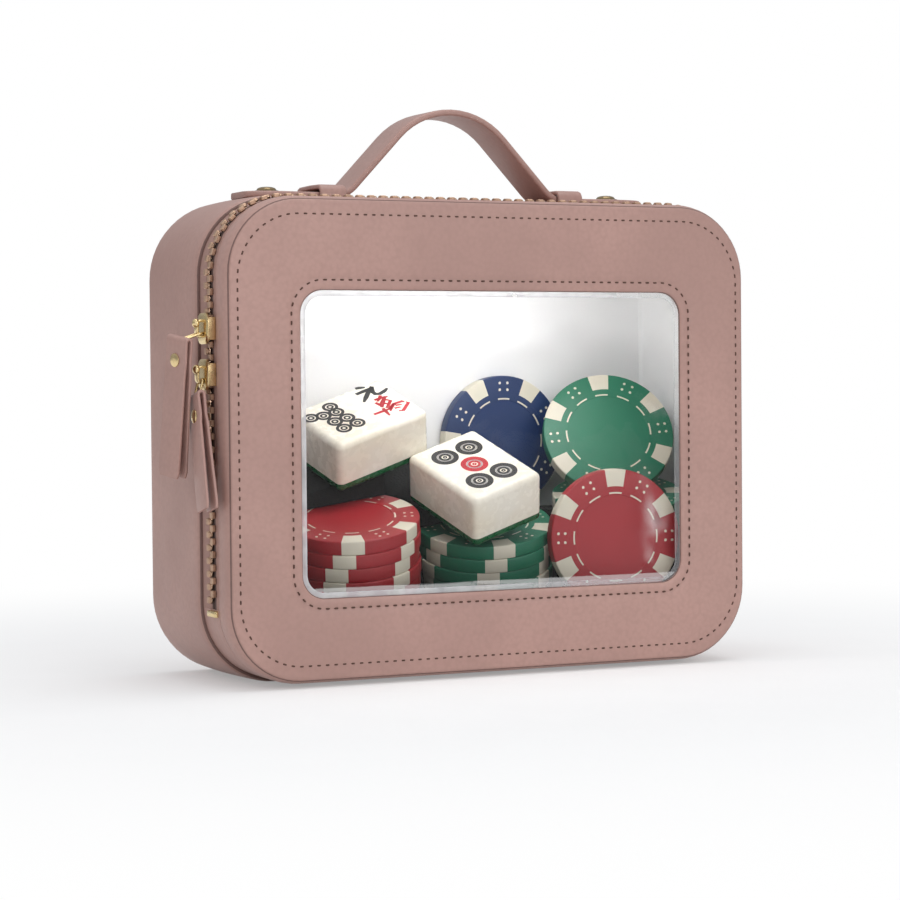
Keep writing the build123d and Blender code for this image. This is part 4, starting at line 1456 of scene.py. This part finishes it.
class GAMECASE_OT_stage(PieceOperator):
    """Sets up the floor, the world that stands behind it, the lamps and the camera"""

    bl_idname = "game_case.stage"
    bl_label = "Stage"

    def make(self, context):
        rest()
        bpy.ops.mesh.primitive_plane_add(size=1)
        floor = bpy.context.object
        floor.name = floor.data.name = "floor"
        bpy.ops.object.mode_set(mode="EDIT")
        bpy.ops.mesh.select_all(action="SELECT")
        bpy.ops.transform.resize(value=(6, 6, 1), center_override=(0, 0, 0))
        bpy.ops.transform.translate(value=(0, 0, -0.0001))
        rest()
        made = Finish("white_floor", (0.9, 0.9, 0.9), 0.9)
        grain = made.noise(made.spot(), 40, 2.0)
        made.set("Base Color", made.mix(grain, (0.9, 0.9, 0.9), (0.93, 0.93, 0.93)))
        path = made.tree.nodes.new("ShaderNodeLightPath")
        seen = Value(made, path.outputs["Is Camera Ray"])
        seen = seen.most(Value(made, path.outputs["Is Glossy Ray"]))
        seen = seen.most(Value(made, path.outputs["Is Transmission Ray"]))
        x, y, z = made.axes(made.spot())
        away = ((x * x + y * y) ** 0.5).between(0.11, 0.4)
        glow = made.node("ShaderNodeEmission", None, {"Color": (1, 1, 1, 1), "Strength": 1.0})
        sockets = {0: seen * (0.3 + 0.7 * away), 1: Value(made, made.shader.outputs[0]), 2: glow}
        both = made.node("ShaderNodeMixShader", None, sockets)
        made.tree.links.new(both.socket, made.output.inputs["Surface"])
        floor.data.materials.append(made.material)
        world = bpy.data.worlds.new("studio")
        context.scene.world = world
        world.use_nodes = True
        nodes, links = world.node_tree.nodes, world.node_tree.links
        nodes.clear()
        out = nodes.new("ShaderNodeOutputWorld")
        paths = nodes.new("ShaderNodeLightPath")
        soft, white = (nodes.new("ShaderNodeBackground") for number in range(2))
        choice = nodes.new("ShaderNodeMixShader")
        soft.inputs["Color"].default_value = (0.95, 0.97, 1.0, 1)
        sky = nodes.new("ShaderNodeTexCoord")
        split = nodes.new("ShaderNodeSeparateXYZ")
        range_ = nodes.new("ShaderNodeMapRange")
        links.new(sky.outputs["Generated"], split.inputs[0])
        links.new(split.outputs["Z"], range_.inputs[0])
        for number, value in ((1, -0.2), (2, 0.7), (3, 0.2), (4, 0.75)):
            range_.inputs[number].default_value = value
        links.new(range_.outputs[0], soft.inputs["Strength"])
        white.inputs["Strength"].default_value = 1.0
        white.inputs["Color"].default_value = (1, 1, 1, 1)
        links.new(paths.outputs["Is Camera Ray"], choice.inputs[0])
        links.new(soft.outputs[0], choice.inputs[1])
        links.new(white.outputs[0], choice.inputs[2])
        links.new(choice.outputs[0], out.inputs["Surface"])
        lamps = (
            ("key_lamp", (0.25, -1.35, 0.55), 0.7, 4.0),
            ("fill_lamp", (-1.1, -0.9, 0.75), 0.9, 1.6),
            ("top_lamp", (0.1, -0.1, 1.5), 0.9, 6.0),
            ("inner_lamp", (0.0, -0.022, 0.131), 0.1, 0.05),
        )
        for name, place, size, power in lamps:
            bpy.ops.object.light_add(type="AREA", location=place)
            lamp = context.object
            lamp.name = lamp.data.name = name
            lamp.data.size = size
            lamp.data.energy = power
            aim = Vector((0, 0.02 if size < 0.2 else 0, 0.07)) - Vector(place)
            if size < 0.2:
                lamp.data.shape, lamp.data.size_y = "RECTANGLE", 0.012
            lamp.rotation_euler = aim.to_track_quat("-Z", "Y").to_euler()
        bpy.ops.object.camera_add(location=Vector((-377.988, -763.292, 94.755)) * MM)
        camera = context.object
        camera.name = "camera"
        yaw, pitch, roll = (math.radians(turn) for turn in (26.2808, -1.6117, -0.4763))
        ahead = Vector((math.sin(yaw) * math.cos(pitch), math.cos(yaw) * math.cos(pitch), math.sin(pitch)))
        level = Vector((math.cos(yaw), -math.sin(yaw), 0))
        above = level.cross(ahead)
        right = math.cos(roll) * level + math.sin(roll) * above
        up = -math.sin(roll) * level + math.cos(roll) * above
        turned = Matrix((right, up, -ahead)).transposed()
        camera.rotation_euler = turned.to_euler()
        camera.data.sensor_width = 36
        camera.data.lens = 104.145
        camera.data.clip_start, camera.data.clip_end = 0.05, 30
        context.scene.camera = camera
        context.scene.view_settings.view_transform = "Standard"


# Panel ----------------------------------------------------------------------------------------------

STEPS = (
    GAMECASE_OT_stage,
    GAMECASE_OT_rear_half,
    GAMECASE_OT_lid_half,
    GAMECASE_OT_linings,
    GAMECASE_OT_window,
    GAMECASE_OT_zip_chain,
    GAMECASE_OT_runners,
    GAMECASE_OT_handle,
    GAMECASE_OT_foam,
    GAMECASE_OT_chips,
    GAMECASE_OT_tiles,
)


class GAMECASE_PT_sidebar(bpy.types.Panel):
    """Lists the case's pieces, sizes and colours"""

    bl_idname = "GAMECASE_PT_sidebar"
    bl_label = "Game case"
    bl_space_type = "VIEW_3D"
    bl_region_type = "UI"
    bl_category = "Game case"

    def draw(self, context):
        for settings in (context.scene.game_case, context.scene.game_chips):
            for name in settings.bl_rna.properties.keys():
                if name not in ("rna_type", "name"):
                    self.layout.prop(settings, name)
        for step in STEPS:
            self.layout.operator(step.bl_idname)


CLASSES = (CaseSettings, ChipSettings, *STEPS, GAMECASE_PT_sidebar)


def register():
    for made in CLASSES:
        bpy.utils.register_class(made)
    bpy.types.Scene.game_case = bpy.props.PointerProperty(type=CaseSettings)
    bpy.types.Scene.game_chips = bpy.props.PointerProperty(type=ChipSettings)


def unregister():
    del bpy.types.Scene.game_case
    del bpy.types.Scene.game_chips
    for made in reversed(CLASSES):
        bpy.utils.unregister_class(made)


def main():
    register()
    for step in STEPS:
        group, name = step.bl_idname.split(".")
        getattr(getattr(bpy.ops, group), name)()


if __name__ == "__main__":
    main()
